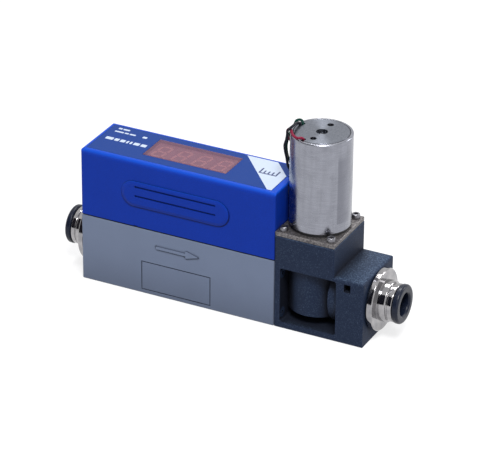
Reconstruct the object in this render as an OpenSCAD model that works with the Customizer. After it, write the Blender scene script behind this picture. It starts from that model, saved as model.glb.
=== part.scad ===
// Compact thermal mass flow controller for 8 mm tube.
// An aluminium flow body with a gas sensor carries a plastic electronics cover.
// A moulded valve block with a proportional solenoid valve is screwed to its outlet end.
// The gas runs along +X. The origin is the centre of the base, midway between the two tube ports.

/* [Flow body] */
// Length of the aluminium flow body
flow_l = 77.1; // [75.5:0.1:84]
// Width of the flow body and of the whole controller
body_w = 25; // [24.8:0.1:27]
// Height of the flow body
flow_h = 26; // [25.6:0.1:28]
// Chamfer on the edges of the flow body
body_chamfer = 0.35; // [0.2:0.05:0.6]
// Height of the gas line above the base
port_z = 14; // [13.7:0.1:14.4]
// Radius of the gas channel
channel_r = 5.5; // [5:0.1:6]
// Distance of the arrow's tail from the inlet end
arrow_x = 30.3; // [26:0.1:34]
// Height of the middle of the arrow
arrow_z = 19.8; // [18.6:0.1:21.5]
// Length of the flow direction arrow
arrow_l = 17; // [12:0.5:20]
// Height of the arrow head
arrow_head_h = 6; // [4:0.1:7]
// Height that the arrow stands proud
arrow_proud = 0.35; // [0.1:0.05:0.5]
// Distance of the label frame from the inlet end
frame_x = 24.2; // [20:0.1:30]
// Height of the bottom of the label frame
frame_z = 1.6; // [1:0.1:3]
// Length of the engraved label frame
frame_l = 27.8; // [20:0.1:32]
// Height of the engraved label frame
frame_h = 11.5; // [8:0.1:12]
// Width of the engraved line
engrave_w = 0.35; // [0.2:0.05:0.6]
// Depth of the engraved line
engrave_d = 0.25; // [0.1:0.05:0.5]

/* [Base mount] */
// Distance between the two threaded mounting holes in the base
mount_pitch = 40; // [36:0.5:42]
// Tapping radius of the mounting holes
mount_hole_r = 1.65; // [1.25:0.05:2]
// Depth of the mounting holes
mount_hole_depth = 6; // [4:0.5:7]

/* [Flow element] */
// Length of the laminar flow element
element_l = 22; // [15:0.5:24]
// Radius of one passage in the element
passage_r = 0.7; // [0.4:0.05:0.8]
// Thickness of the inlet screen
screen_t = 1.2; // [0.8:0.1:1.6]
// Radius of one hole in the inlet screen
screen_hole_r = 0.6; // [0.3:0.05:0.7]

/* [Sensor] */
// Distance of the sensor pocket from the outlet end of the flow body
sensor_inset = 11.1; // [11:0.1:14]
// Length of the sensor board
sensor_l = 19; // [17:0.5:20]
// Width of the sensor board
sensor_w = 12.5; // [11:0.1:13]
// Thickness of the sensor board
sensor_t = 1; // [0.8:0.1:1.6]
// Depth of the sensor pocket
sensor_pocket_d = 4.5; // [4:0.1:5]
// Side of the square window between the pocket and the channel
sensor_window = 6; // [5:0.1:7]
// Thickness of the sensor gasket
gasket_t = 1; // [0.8:0.1:1.4]
// Side of the sensor chip
chip_w = 4; // [2.5:0.1:4.5]
// Thickness of the sensor chip
chip_t = 0.8; // [0.4:0.1:1]

/* [Tube ports] */
// Radius of the tube that the ports take
tube_r = 4; // [3.9:0.05:4.1]
// Radial clearance round the tube
tube_fit = 0.1; // [0.06:0.01:0.15]
// Radius of the threaded shank of a fitting
shank_r = 8.25; // [8:0.05:8.5]
// Length of the threaded shank
shank_l = 10.5; // [10.3:0.1:11.5]
// Radial clearance between the shank and its port
shank_fit = 0.08; // [0.05:0.01:0.12]
// Thickness of the seal under the flange of a fitting
flange_seal_t = 0.4; // [0.3:0.05:0.8]
// Outer radius of the seal under the flange
flange_seal_r = 10; // [9.5:0.1:10.8]
// Radius of the flange of a fitting
flange_r = 11.3; // [11:0.1:11.8]
// Thickness of the flange
flange_t = 2.3; // [1.8:0.1:3]
// Radius of the shoulder next to the flange
shoulder_r = 7.5; // [7.2:0.05:8.5]
// Length of the shoulder
shoulder_l = 3.1; // [2.5:0.1:4]
// Radius of the groove in the barrel
barrel_groove_r = 6.7; // [6.55:0.05:7]
// Width of the groove in the barrel
barrel_groove_w = 0.5; // [0.3:0.1:1]
// Radius of the end ring of the barrel
end_ring_r = 6.95; // [6.8:0.05:7.2]
// Length of the end ring
end_ring_l = 1.8; // [1.2:0.1:2.5]

/* [Release collars] */
// Radius of the rim of a release collar
collar_r = 7.15; // [6.8:0.05:7.6]
// Thickness of the rim
collar_t = 2.25; // [1.8:0.05:3]
// Outer radius of the sleeve behind the rim
sleeve_r = 5.4; // [5.2:0.05:5.5]
// Radial clearance round the sleeve
sleeve_fit = 0.08; // [0.05:0.01:0.1]
// Gap between the rim and the end ring when the collar is pushed in
collar_gap = 0.15; // [0.1:0.05:0.3]
// Travel of a release collar
collar_travel = 1.5; // [1:0.1:1.8]
// Radius of the snap bead at the end of the sleeve
bead_r = 5.75; // [5.65:0.05:5.8]
// Length of the snap bead
bead_l = 0.8; // [0.6:0.1:1]

/* [Valve block] */
// Length of the valve block
block_l = 34.2; // [34:0.1:36]
// Length of the tall part that carries the solenoid
tower_l = 22.8; // [22.75:0.05:23.2]
// Height of the tall part
block_h = 36; // [35.8:0.1:38]
// Height of the outlet step
step_h = 25.2; // [24.9:0.1:25.5]
// Rounding of the edges of the outlet step
step_round = 1.2; // [0.8:0.1:1.8]
// Thickness of the end wall against the flow body
block_wall = 2.2; // [1.8:0.1:2.4]
// Thickness of the floor under the side pockets
block_floor = 2.5; // [2:0.1:2.7]
// Height of the top of the side pockets
pocket_top = 23.7; // [23.4:0.1:24.2]
// Right edge of the side pockets, from the flow body
pocket_end = 23.8; // [23.4:0.1:24]
// Thickness of the web between the two side pockets
block_web = 2; // [1.5:0.1:3]
// Radius of the upright valve boss
boss_r = 10.7; // [10.4:0.05:10.9]
// Height of the bottom of the valve boss
boss_z = 6.2; // [5.6:0.1:6.6]
// Radius of the outlet boss
outlet_boss_r = 11; // [10.6:0.1:11.2]
// Where the outlet boss starts, from the flow body
outlet_boss_x = 19.9; // [19.4:0.1:20.6]
// Radius of the gas passages in the block
passage_bore_r = 3; // [2.4:0.1:3.2]

/* [Valve] */
// Distance of the valve axis from the flow body
valve_x = 11.35; // [11.3:0.05:11.45]
// Radius of the valve chamber
chamber_r = 7.8; // [7.6:0.1:8.1]
// Height of the floor of the valve chamber
chamber_z = 24; // [23.8:0.1:24.5]
// Radius of the seat insert
seat_r = 3.5; // [3.2:0.1:3.8]
// Length of the seat insert in the block
seat_l = 4; // [3:0.1:4.2]
// Height of the nozzle above the chamber floor
nozzle_h = 1.2; // [0.8:0.1:1.6]
// Radius of the control orifice
orifice_r = 0.6; // [0.3:0.05:0.9]
// Radius of the plunger
plunger_r = 4.2; // [4:0.05:4.4]
// Radial running clearance of the plunger
plunger_fit = 0.08; // [0.05:0.01:0.1]
// Length of the plunger
plunger_l = 28.7; // [26:0.1:29]
// Travel of the plunger
plunger_travel = 0.4; // [0.2:0.05:0.5]
// Wall of the core tube
core_tube_wall = 0.42; // [0.35:0.01:0.5]
// Radius of the flange of the core tube
tube_flange_r = 9.8; // [9.5:0.05:9.9]
// Thickness of the flange of the core tube
tube_flange_t = 1.5; // [1.2:0.1:2]
// Section radius of the chamber seal
chamber_seal_r = 0.75; // [0.6:0.05:0.8]
// Wire radius of the return spring
spring_wire_r = 0.28; // [0.2:0.01:0.32]
// Mean coil radius of the return spring
spring_r = 1.7; // [1.5:0.05:1.8]
// Turns of the return spring
spring_turns = 8; // [5:0.5:9]

/* [Solenoid] */
// Margin of the clamp plate inside the edges of the valve block
plate_margin = 0.1; // [0.05:0.05:0.3]
// Thickness of the clamp plate
plate_t = 1.6; // [1.2:0.1:2]
// Thickness of the spacer ring between the plate and the can
spacer_t = 1.05; // [0.8:0.05:1.5]
// Radius of the spacer ring
spacer_r = 10.4; // [9.8:0.1:10.7]
// Radius of the solenoid can
can_r = 11; // [10.8:0.05:11.3]
// Height of the solenoid can
can_h = 34.7; // [33:0.05:36]
// Side wall of the can
can_wall = 1; // [0.8:0.05:1.05]
// Bottom wall of the can
can_bottom = 2; // [1.5:0.1:2.5]
// Thickness of the end disc
disc_t = 3; // [2.5:0.1:3.4]
// Radius of the hole in the middle of the end disc
disc_hole_r = 2.05; // [1.9:0.05:2.3]
// Radius of the two spanner holes
spanner_hole_r = 1.15; // [0.8:0.05:1.3]
// Distance of a spanner hole from the middle
spanner_pitch_r = 6.2; // [5.8:0.1:6.6]
// Wall of the coil bobbin
bobbin_wall = 0.8; // [0.6:0.05:1]
// Thickness of a bobbin flange
bobbin_flange_t = 1; // [0.8:0.1:1.4]
// Radius of the lead wires
lead_r = 0.5; // [0.4:0.02:0.52]

/* [Cover] */
// Height of the electronics cover
cover_h = 26; // [25.5:0.1:28]
// Height of the shadow gap round the lower edge of the cover
seam_h = 0.35; // [0.2:0.05:0.5]
// Depth of the shadow gap
seam_d = 0.4; // [0.2:0.05:0.6]
// Wall of the cover
cover_wall = 1.8; // [1.5:0.1:2]
// Top wall of the cover
cover_top = 2; // [1.8:0.1:2.4]
// Rounding of the long top edges
cover_round = 1.9; // [1:0.1:2]
// Rounding of the end edges
cover_end_round = 0.6; // [0.3:0.1:1]
// Distance of the grip pad from the inlet end of the cover
pad_x = 16.6; // [14:0.1:18]
// Length of the grip pad on each side
pad_l = 42.6; // [36:0.1:46]
// Height of the grip pad
pad_h = 9.9; // [8:0.1:11]
// Height of the middle of the grip pad above the flow body
pad_z = 13.25; // [12:0.05:14]
// Height that the grip pad stands proud
pad_proud = 0.35; // [0.2:0.05:0.6]
// Distance between the two grip grooves
grip_pitch = 3.6; // [3:0.1:4.5]
// Length of a grip groove
grip_l = 32.2; // [26:0.1:34]
// Height of the grooves above the middle of the pad
grip_rise = 1.05; // [0.5:0.05:1.2]
// Width of a grip groove
grip_w = 0.7; // [0.4:0.05:1]
// Depth of a grip groove
grip_d = 0.5; // [0.3:0.05:0.8]
// Thickness of the printed film
film_t = 0.2; // [0.1:0.05:0.3]

/* [Display] */
// Length of the display lens
lens_l = 33; // [31.5:0.1:34]
// Width of the display lens
lens_w = 13.2; // [12.8:0.1:13.6]
// Distance of the lens from the inlet end of the cover
lens_x = 21.6; // [21:0.1:22]
// Height that the lens stands proud of the film
lens_proud = 0.3; // [0.1:0.05:0.5]
// Height of the display module
module_h = 6; // [5:0.1:7]
// Height of a digit
digit_h = 9; // [8:0.1:9.6]
// Width of a digit
digit_w = 4.9; // [4:0.1:5.2]
// Width of a segment
segment_w = 1; // [0.7:0.05:1.2]

/* [Electronics] */
// Thickness of the circuit boards
board_t = 1.6; // [1:0.1:1.8]
// Height of the main board above the flow body
standoff_h = 8; // [7.8:0.1:9]
// Margin beside the connector housing inside the cover
connector_margin = 0.5; // [0.4:0.05:1.2]
// Height of the connector housing
connector_h = 9; // [8.4:0.1:9.4]
// Depth of the connector housing
connector_d = 9.6; // [9:0.1:11]
// Distance between the connector pins
pin_pitch = 2.54; // [2:0.01:2.6]

/* [Hidden] */
$fn = 64;
eps = 0.01;
over = 1;

// Main planes
half_w = body_w / 2;
flow_x0 = -(flow_l + block_l) / 2;
block_x0 = flow_x0 + flow_l;
block_x1 = block_x0 + block_l;
cover_z1 = flow_h + cover_h;

// Tube ports, measured outward from the face that a fitting is screwed into
bore_r = tube_r + tube_fit;
port_r = shank_r + shank_fit;
screen_gap = 0.1;
port_depth = shank_l + screen_t + screen_gap;
flange_s = flange_seal_t + flange_t;
shoulder_s = flange_s + shoulder_l;
groove_s = shoulder_s + barrel_groove_w;
barrel_s = groove_s + end_ring_l;
rim_s = barrel_s + collar_gap;
fitting_chamfer = 0.3;
gas_r = 3;
tube_stop_t = 1.2;
ring_seat_s = 0.6;
ring_t = 0.35;
ring_rim_r = bead_r + 0.2;
ring_pocket_r = ring_rim_r - 0.45;
ring_pocket_s = -1.2;
ring_teeth = 10;
ring_slot_w = 0.6;
seal_lip_t = 0.4;
seal_lip_r = bore_r + 0.5;
tube_seal_r = 0.93;
tube_seal_gap = 0.02;
seal_groove_r = bore_r + tube_seal_gap + 2 * tube_seal_r + tube_seal_gap;
seal_groove_l = 2.3;
seal_groove_s = ring_pocket_s - seal_lip_t;
bore_s = seal_groove_s - seal_groove_l;
cavity_r = ring_rim_r + 0.05;
sleeve_end_s = ring_seat_s + ring_t + 0.3;
stop_gap = 0.05;
snap_s = sleeve_end_s + bead_l + collar_travel + stop_gap;
sleeve_bore_r = sleeve_r + sleeve_fit;

// Flow body
pocket_gap = 0.3;
sensor_pocket_l = sensor_l + 2 * pocket_gap;
sensor_pocket_w = sensor_w + 2 * pocket_gap;
sensor_x = block_x0 - sensor_inset - sensor_pocket_l / 2;
sensor_floor_z = flow_h - sensor_pocket_d;
element_x = flow_x0 + port_depth + 3;
screen_pitch = 1.7;
passage_pitch = 1.8;
gasket_margin = 0.2;
shaft_part = 0.36;
arrow_head_l = 5.2;
face_seal_r = 0.72;
face_groove_r = channel_r + 0.7;
face_groove_w = 2;
face_groove_d = 2 * face_seal_r + 0.04;

// Screws between the pieces
pocket_round = 0.8;
block_screw_r = 1;
block_screw_head_r = 1.9;
block_screw_head_h = 1.1;
block_screw_l = 8;
block_screw_y = half_w - 2.3;
block_screw_low = block_floor + block_screw_head_r + pocket_round + 0.1;
block_screw_high = pocket_top - block_screw_head_r - pocket_round - 0.1;
cover_screw_r = 1.25;
cover_screw_head_r = 2.2;
cover_screw_head_h = 2.2;
cover_screw_recess = 2.5;
cover_screw_y = half_w - 3.2;
cover_screw_in = 22;
cover_screw_out = 14;
cover_screw_x = [flow_x0 + cover_screw_in, block_x0 - cover_screw_out];
cover_boss_r = 2.7;
cover_boss_h = 7;
cover_boss_cap = 0.6;
cover_screw_hex = 1.1;
cover_screw_hex_d = 1.3;
pilot_d = 4;
block_screw_hex = 0.7;
block_screw_hex_d = 0.7;
block_screw_end = 0.5;
thread_gap = 0.03;
free_gap = 0.15;

// Valve block
valve_cx = block_x0 + valve_x;
seat_floor_z = chamber_z - seat_l;
riser_r = 2;
transfer_r = 1.5;
transfer_x = chamber_r - 1.8;
block_port_depth = shank_l + 0.4;
slot_x = 26.8;
slot_z = 20.5;
slot_w = 2.5;
slot_h = 3;
slot_d = 4;
ledge_z = block_h - tube_flange_t - 2 * chamber_seal_r;
seal_squeeze = 0.02;
ledge_r = tube_flange_r + 0.1;
chamber_seal_centre = (chamber_r + ledge_r) / 2;

// Solenoid stack
plate_l = tower_l - plate_margin;
plate_w = body_w - 2 * plate_margin;
plate_z1 = block_h + plate_t;
can_z = plate_z1 + spacer_t;
can_z1 = can_z + can_h;
disc_z = can_z1 - disc_t;
bobbin_z = can_z + can_bottom;
bobbin_z1 = disc_z - 0.1;
guide_r = plunger_r + plunger_fit;
core_tube_r = guide_r + core_tube_wall;
stack_hole_r = core_tube_r + free_gap;
bobbin_core_r = stack_hole_r + bobbin_wall;
can_inner_r = can_r - can_wall;
bobbin_r = can_inner_r - 0.2;
winding_r = bobbin_r - 0.5;
disc_r = can_inner_r - thread_gap;
plate_screw_inset = 2.3;
plate_screw_r = 1;
plate_screw_head_r = 1.5;
plate_screw_head_h = 1.7;
plate_screw_edge = 0.25;
plate_screw_hex = 0.87;
plate_screw_hex_d = 0.9;
plate_screw_l = 6.5;
plate_screw_dx = valve_x - plate_screw_inset;
plate_screw_dy = plate_w / 2 - plate_screw_inset;
spanner_turn = 87;
lead_hole_gap = 0.3;

// Plunger and core
seat_gap = 0.02;
plunger_z = chamber_z + nozzle_h + seat_gap;
plunger_z1 = plunger_z + plunger_l;
core_z = plunger_z1 + plunger_travel + 0.2;
core_r = guide_r - thread_gap;
core_neck_r = 3.65;
core_neck_l = 1.1;
spring_bore_d = 8;
spring_bore_r = spring_r + spring_wire_r + 0.12;
adjuster_r = 2.2;
adjuster_hex = 1.3;
adjuster_hex_d = 2;
adjuster_depth = 7.5;
adjuster_z = core_z + adjuster_depth;
adjuster_z1 = disc_z + core_neck_l - 0.2;
spring_z = plunger_z1 - spring_bore_d + spring_wire_r + 0.15;
spring_z1 = adjuster_z - spring_wire_r - 0.15;
nozzle_r = 1.4;
seat_disc_r = 2.2;
seat_disc_t = 1.2;

// Display and electronics
window_y = 0.4;
lens_gap = 0.1;
lens_ledge = 0.4;
lens_seat = 0.8;
lens_bevel = 0.3;
module_gap = 0.2;
lens_cx = flow_x0 + lens_x + lens_l / 2;
lens_seat_z = cover_z1 - lens_seat;
module_l = lens_l - 2 * lens_ledge - 2 * lens_gap;
module_w = lens_w - 2 * lens_ledge - 2 * lens_gap;
module_z1 = lens_seat_z - module_gap;
module_z = module_z1 - module_h;
digits = 4;
digit_pitch = module_l / digits;
segment_d = 1.2;
segment_gap = 0.18;
digit_slant = 8;
digit_shift = -0.9;
point_gap = 1.1;
point_r = 0.6;
display_board_z = module_z - board_t;
display_board_over = 5;
display_board_l = lens_l + 2 * display_board_over;
display_board_w = 2 * (half_w - cover_wall - 1.2);
display_screw_x = lens_l / 2 + 2.9;
display_screw_inset = 1.9;
display_screw_y = display_board_w / 2 - display_screw_inset;
display_screw_r = 0.85;
display_screw_head_r = 1.6;
display_screw_head_h = 1.2;
display_screw_hex = 0.8;
display_screw_hex_d = 0.7;
display_boss_r = 1.9;
main_board_z = flow_h + standoff_h;
main_board_z1 = main_board_z + board_t;
main_board_x0 = flow_x0 + cover_wall + 0.4;
main_board_x1 = block_x0 - cover_wall - 1.2;
main_board_w = 2 * (half_w - cover_wall - 0.8);
standoff_r = 2.2;
standoff_in = 14;
standoff_out = 6;
standoff_x = [flow_x0 + standoff_in, block_x0 - standoff_out];
standoff_y = 6.5;
stud_r = 1.2;
stud_l = 2.6;
board_screw_head_r = 1.9;
board_screw_head_h = 1.4;
board_screw_l = 5;
board_screw_hex = 0.9;
board_screw_hex_d = 0.7;
chip_x = 31;
chip_pos = [flow_x0 + chip_x, 0];
chip_size = [8, 8, 1.3];
chip_lift = 0.15;
chip_pins = 9;
chip_pin_size = [1.2, 0.3, 0.4];
chip_pin_pitch = 0.8;
header_x = 44;
header_inset = 4;
header_pos = [flow_x0 + header_x, header_inset - display_board_w / 2];
header_l = 13;
header_w = 5;
sensor_header_l = 10;
sensor_header_w = 4;
sensor_header_y = 1;
plug_inset = 6.25;
plug_pos = [block_x0 - plug_inset, 2.4];
plug_lead_pitch = 1.2;
plug_size = [5, 4, 5];
connector_w = 2 * (half_w - cover_wall - connector_margin);
connector_wall = 1.3;
connector_back = 1.6;
pin_w = 0.64;
pin_l = 7.6;
pins_in_row = 5;
film_margin = 1.2;
film_end = 2.5;
notch_y = [1.4, 5.4];
notch_x = block_x0 - 2.2;
notch_d = 6;
pry_x = 21.3;
pry_w = 1.4;
pry_h = 0.6;
pry_d = 0.8;

// Routes of the three leads: out of the end disc, over the rim, down behind the cover's end and
// in through its notch to the plug on the main board
lead_sides = 8;
lead_steps = 4;
// the points from the can's top centre, from the cover's end corner and from the plug's top
black_top = [
  [-8.8, 1.5, -3], [-8.8, 1.5, -0.4], [-9.2, 1.1, 0.75], [-9.5, -0.4, 1.25], [-9.3, -2.2, 1.65],
  [-9.1, -4.2, 1.85], [-9.3, -5.8, 1.75], [-9.9, -6.7, 0.9], [-10.1, -6.5, -0.7],
  [-11, -5.3, -3.3], [-12.1, -4.2, -6], [-12.6, -2.8, -9], [-12.9, -1, -12.3], [-13.2, 0.8, -16.3]
];
black_end = [
  [-1.45, 1.8, 2.9], [-0.85, 2.2, -0.2], [-1.25, 2.2, -3.1], [-2.85, 2, -5.9], [-5.05, 1.4, -8.1]
];
green_top = [
  [-8.5, 2.65, -3], [-8.5, 2.65, -0.4], [-9.2, 3.2, 0.7], [-10.4, 3.5, 0.7], [-11.4, 3.2, 0.15],
  [-11.9, 2.7, -1.4], [-12.6, 1.6, -3.4], [-13, 0.2, -5.4], [-13.1, -0.8, -7.7],
  [-13.2, -0.3, -10.3], [-13.3, 1, -13.2], [-12.9, 2.8, -16.8]
];
green_end = [[-0.85, 3.4, -0.2], [-1.25, 3.4, -3.1], [-2.85, 3.2, -5.9], [-5.05, 2.6, -8.1]];
red_top = [
  [-2.9, -8.4, -3], [-2.9, -8.4, -0.4], [-3.3, -9.2, 0.7], [-4.6, -9.9, 0.7], [-6.5, -8.9, 0.68],
  [-8.05, -7.05, 0.68], [-9.3, -5.2, 0.68], [-10.4, -4.4, 0.55], [-11.1, -4.3, -0.3],
  [-11.3, -3.9, -1.7], [-11.7, -2.6, -3.3], [-11.95, -1, -4.8], [-11.9, 0.5, -6.8],
  [-11.9, 1.9, -10], [-12, 3.3, -13.8], [-12.1, 4.2, -17.6]
];
red_end = [[-0.85, 4.6, -0.2], [-1.25, 4.6, -3.1], [-2.85, 4.4, -5.9], [-5.05, 3.8, -8.1]];
plug_end = [[0, 0, 1.6], [0, 0, 0.1]];
can_top = [valve_cx, 0, can_z1];
cover_corner = [block_x0, 0, cover_z1];
plug_top = [plug_pos[0], plug_pos[1], main_board_z1 + plug_size[2]];
black_route = route(black_top, black_end, -plug_lead_pitch);
green_route = route(green_top, green_end, 0);
red_route = route(red_top, red_end, plug_lead_pitch);

// Colours
anodised_grey = [0.47, 0.51, 0.58];
cover_blue = [0.05, 0.16, 0.55];
film_blue = [0.13, 0.24, 0.55];
block_black = [0.07, 0.08, 0.12];
steel = [0.72, 0.72, 0.75];
nickel = [0.78, 0.77, 0.74];
black_plastic = [0.04, 0.04, 0.05];
black_rubber = [0.03, 0.03, 0.03];
board_green = [0.05, 0.3, 0.14];
brass_gold = [0.8, 0.65, 0.3];
copper = [0.72, 0.38, 0.2];

// ---- Shared shapes ----

// Rectangle with its first corner at the origin and round corners
module round_rect(size, r) {
  translate([r, 0]) square([size[0] - 2 * r, size[1]]);
  translate([0, r]) square([size[0], size[1] - 2 * r]);
  for (x = [r, size[0] - r]) {
    for (y = [r, size[1] - r]) {
      translate([x, y]) circle(r = r);
    }
  }
}

// Slot shape with round ends, centred
module stadium(l, h) {
  square([l - h, h], center = true);
  for (x = [-1, 1]) translate([x * (l - h) / 2, 0]) circle(r = h / 2);
}

// Box with a chamfer on every edge, from the given corner
module chamfer_box(size, c) {
  intersection() {
    linear_extrude(size[2]) chamfer_rect([size[0], size[1]], c);
    rotate([90, 0, 90]) linear_extrude(size[0]) chamfer_rect([size[1], size[2]], c);
    translate([0, size[1], 0]) rotate([90, 0, 0]) linear_extrude(size[1])
      chamfer_rect([size[0], size[2]], c);
  }
}

module chamfer_rect(size, c) {
  polygon([
    [c, 0], [size[0] - c, 0], [size[0], c], [size[0], size[1] - c],
    [size[0] - c, size[1]], [c, size[1]], [0, size[1] - c], [0, c]
  ]);
}

// Ring of round section, lying flat
module o_ring(centre_r, section_r) {
  rotate_extrude() translate([centre_r, 0]) circle(r = section_r, $fn = 32);
}

// Hollow cylinder
module sleeve(outer_r, inner_r, h) {
  difference() {
    cylinder(r = outer_r, h = h);
    translate([0, 0, -over]) cylinder(r = inner_r, h = h + 2 * over);
  }
}

// Puts a shape that points up onto the gas line, outward from a port face
module at_inlet() {
  translate([flow_x0, 0, port_z]) mirror([1, 0, 0]) rotate([0, 90, 0]) children();
}

module at_outlet() {
  translate([block_x1, 0, port_z]) rotate([0, 90, 0]) children();
}

// Lays a shape on the front face: its x runs along the body, its y runs up, its z comes out
module on_front(x, z) {
  translate([x, -half_w, z]) rotate([90, 0, 0]) children();
}

// ---- Swept tubes for the leads and the spring ----

function moved(points, by) = [for (p = points) p + by];
function route(top, end, side) = concat(
  moved(top, can_top), moved(end, cover_corner), moved(plug_end, plug_top + [0, side, 0])
);
function unit(v) = v / norm(v);
function spline(a, b, c, d, t) =
  0.5 * (2 * b + (c - a) * t + (2 * a - 5 * b + 4 * c - d) * t * t
  + (3 * b - a - 3 * c + d) * t * t * t);
function smooth_path(p, k) = [
  for (i = [0 : len(p) - 2], j = [0 : k - 1])
    spline(p[max(i - 1, 0)], p[i], p[i + 1], p[min(i + 2, len(p) - 1)], j / k),
  p[len(p) - 1]
];
function tangent(p, i) = unit(p[min(i + 1, len(p) - 1)] - p[max(i - 1, 0)]);
function carry(n, t) = unit(n - (n * t) * t);
function normals(p, seed) = [
  for (i = 0, n = carry(seed, tangent(p, 0)); i < len(p);
    i = i + 1, n = i < len(p) ? carry(n, tangent(p, i)) : n) n
];

// Tube of the given radius along a path of points
module swept_tube(p, r, sides, seed = [1, 0.3, 0.1]) {
  n = normals(p, seed);
  rings = len(p);
  points = [
    for (i = [0 : rings - 1], j = [0 : sides - 1])
      p[i] + r * (cos(360 * j / sides) * n[i] + sin(360 * j / sides) * cross(tangent(p, i), n[i]))
  ];
  walls = [
    for (i = [0 : rings - 2], j = [0 : sides - 1], k = [0, 1])
      let (a = i * sides + j, b = i * sides + (j + 1) % sides)
      k == 0 ? [a, a + sides, b + sides] : [a, b + sides, b]
  ];
  first = [[for (j = [0 : sides - 1]) j]];
  last = [[for (j = [sides - 1 : -1 : 0]) (rings - 1) * sides + j]];
  polyhedron(points, concat(first, walls, last), convexity = 6);
}

// ---- Flow body and what it holds ----

module flow_body() {
  color(anodised_grey) {
    difference() {
      union() {
        translate([flow_x0, -half_w, 0]) chamfer_box([flow_l, body_w, flow_h], body_chamfer);
        on_front(flow_x0 + arrow_x, arrow_z) translate([0, 0, -over]) arrow(arrow_proud + over);
      }
      at_inlet() translate([0, 0, -port_depth]) cylinder(r = port_r, h = port_depth + over);
      translate([flow_x0 + port_depth - over, 0, port_z]) rotate([0, 90, 0])
        cylinder(r = channel_r, h = flow_l);
      sensor_cavity();
      translate([block_x0 - face_groove_d, 0, port_z]) rotate([0, 90, 0])
        sleeve(face_groove_r + face_groove_w, face_groove_r, face_groove_d + over);
      on_front(flow_x0 + frame_x, frame_z) translate([0, 0, -engrave_d]) label_frame();
      block_screw_places() translate([0, 0, -block_screw_l + block_wall - over])
        cylinder(r = block_screw_r + thread_gap, h = block_screw_l);
      cover_screw_places() {
        translate([0, 0, -over]) cylinder(r = cover_screw_r + free_gap, h = flow_h + 2 * over);
        translate([0, 0, -over])
          cylinder(r = cover_screw_head_r + free_gap, h = cover_screw_recess + over);
      }
      standoff_places() translate([0, 0, flow_h - stud_l - 0.2])
        cylinder(r = stud_r + thread_gap, h = stud_l + over);
      for (x = [-1, 1]) {
        translate([flow_x0 + flow_l / 2 + x * mount_pitch / 2, 0, -over])
          cylinder(r = mount_hole_r, h = mount_hole_depth + over);
      }
    }
  }
}

module arrow(t) {
  shaft = shaft_part * arrow_head_h / 2;
  head = arrow_l - arrow_head_l;
  linear_extrude(t) polygon([
    [0, -shaft], [head, -shaft], [head, -arrow_head_h / 2], [arrow_l, 0],
    [head, arrow_head_h / 2], [head, shaft], [0, shaft]
  ]);
}

module label_frame() {
  linear_extrude(engrave_d + over) difference() {
    square([frame_l, frame_h]);
    translate([engrave_w, engrave_w]) square([frame_l - 2 * engrave_w, frame_h - 2 * engrave_w]);
  }
}

module sensor_cavity() {
  translate([sensor_x - sensor_pocket_l / 2, -sensor_pocket_w / 2, sensor_floor_z])
    cube([sensor_pocket_l, sensor_pocket_w, sensor_pocket_d + over]);
  translate([sensor_x - sensor_window / 2, -sensor_window / 2, port_z])
    cube([sensor_window, sensor_window, sensor_floor_z - port_z + over]);
}

module inlet_screen() {
  color(steel) at_inlet() translate([0, 0, -port_depth]) difference() {
    cylinder(r = port_r - 0.1, h = screen_t);
    for (ring = [0 : 2], i = [0 : max(6 * ring - 1, 0)]) {
      rotate([0, 0, 60 * i / max(ring, 1)]) translate([ring * screen_pitch, 0, -over])
        cylinder(r = screen_hole_r, h = screen_t + 2 * over, $fn = 24);
    }
  }
}

module flow_element() {
  color(steel) translate([element_x, 0, port_z]) rotate([0, 90, 0]) difference() {
    cylinder(r = channel_r - thread_gap, h = element_l);
    for (ring = [0 : 2], i = [0 : max(6 * ring - 1, 0)]) {
      rotate([0, 0, 60 * i / max(ring, 1)]) translate([ring * passage_pitch, 0, -over])
        cylinder(r = passage_r, h = element_l + 2 * over, $fn = 24);
    }
  }
}

module sensor_gasket() {
  color(black_rubber) translate([sensor_x, 0, sensor_floor_z]) linear_extrude(gasket_t)
    difference() {
      square([sensor_l, sensor_w], center = true);
      square(sensor_window + 2 * gasket_margin, center = true);
    }
}

module sensor_board() {
  color(board_green) translate([sensor_x, 0, sensor_floor_z + gasket_t])
    linear_extrude(sensor_t) square([sensor_l, sensor_w], center = true);
}

module sensor_chip() {
  color(black_plastic) translate([sensor_x, 0, sensor_floor_z + gasket_t - chip_t])
    linear_extrude(chip_t) square([chip_w, chip_w], center = true);
}

module block_seal() {
  color(black_rubber)
    translate([block_x0 - face_groove_d / 2, 0, port_z]) rotate([0, 90, 0])
      o_ring(face_groove_r + face_groove_w / 2, face_seal_r);
}

// ---- Valve block ----

module block_screw_places() {
  for (y = [-1, 1], z = [block_screw_low, block_screw_high]) {
    translate([block_x0, y * block_screw_y, z]) rotate([0, 90, 0]) children();
  }
}

module plate_screw_places() {
  for (x = [-1, 1], y = [-1, 1]) {
    translate([valve_cx + x * plate_screw_dx, y * plate_screw_dy, 0]) children();
  }
}

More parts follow.
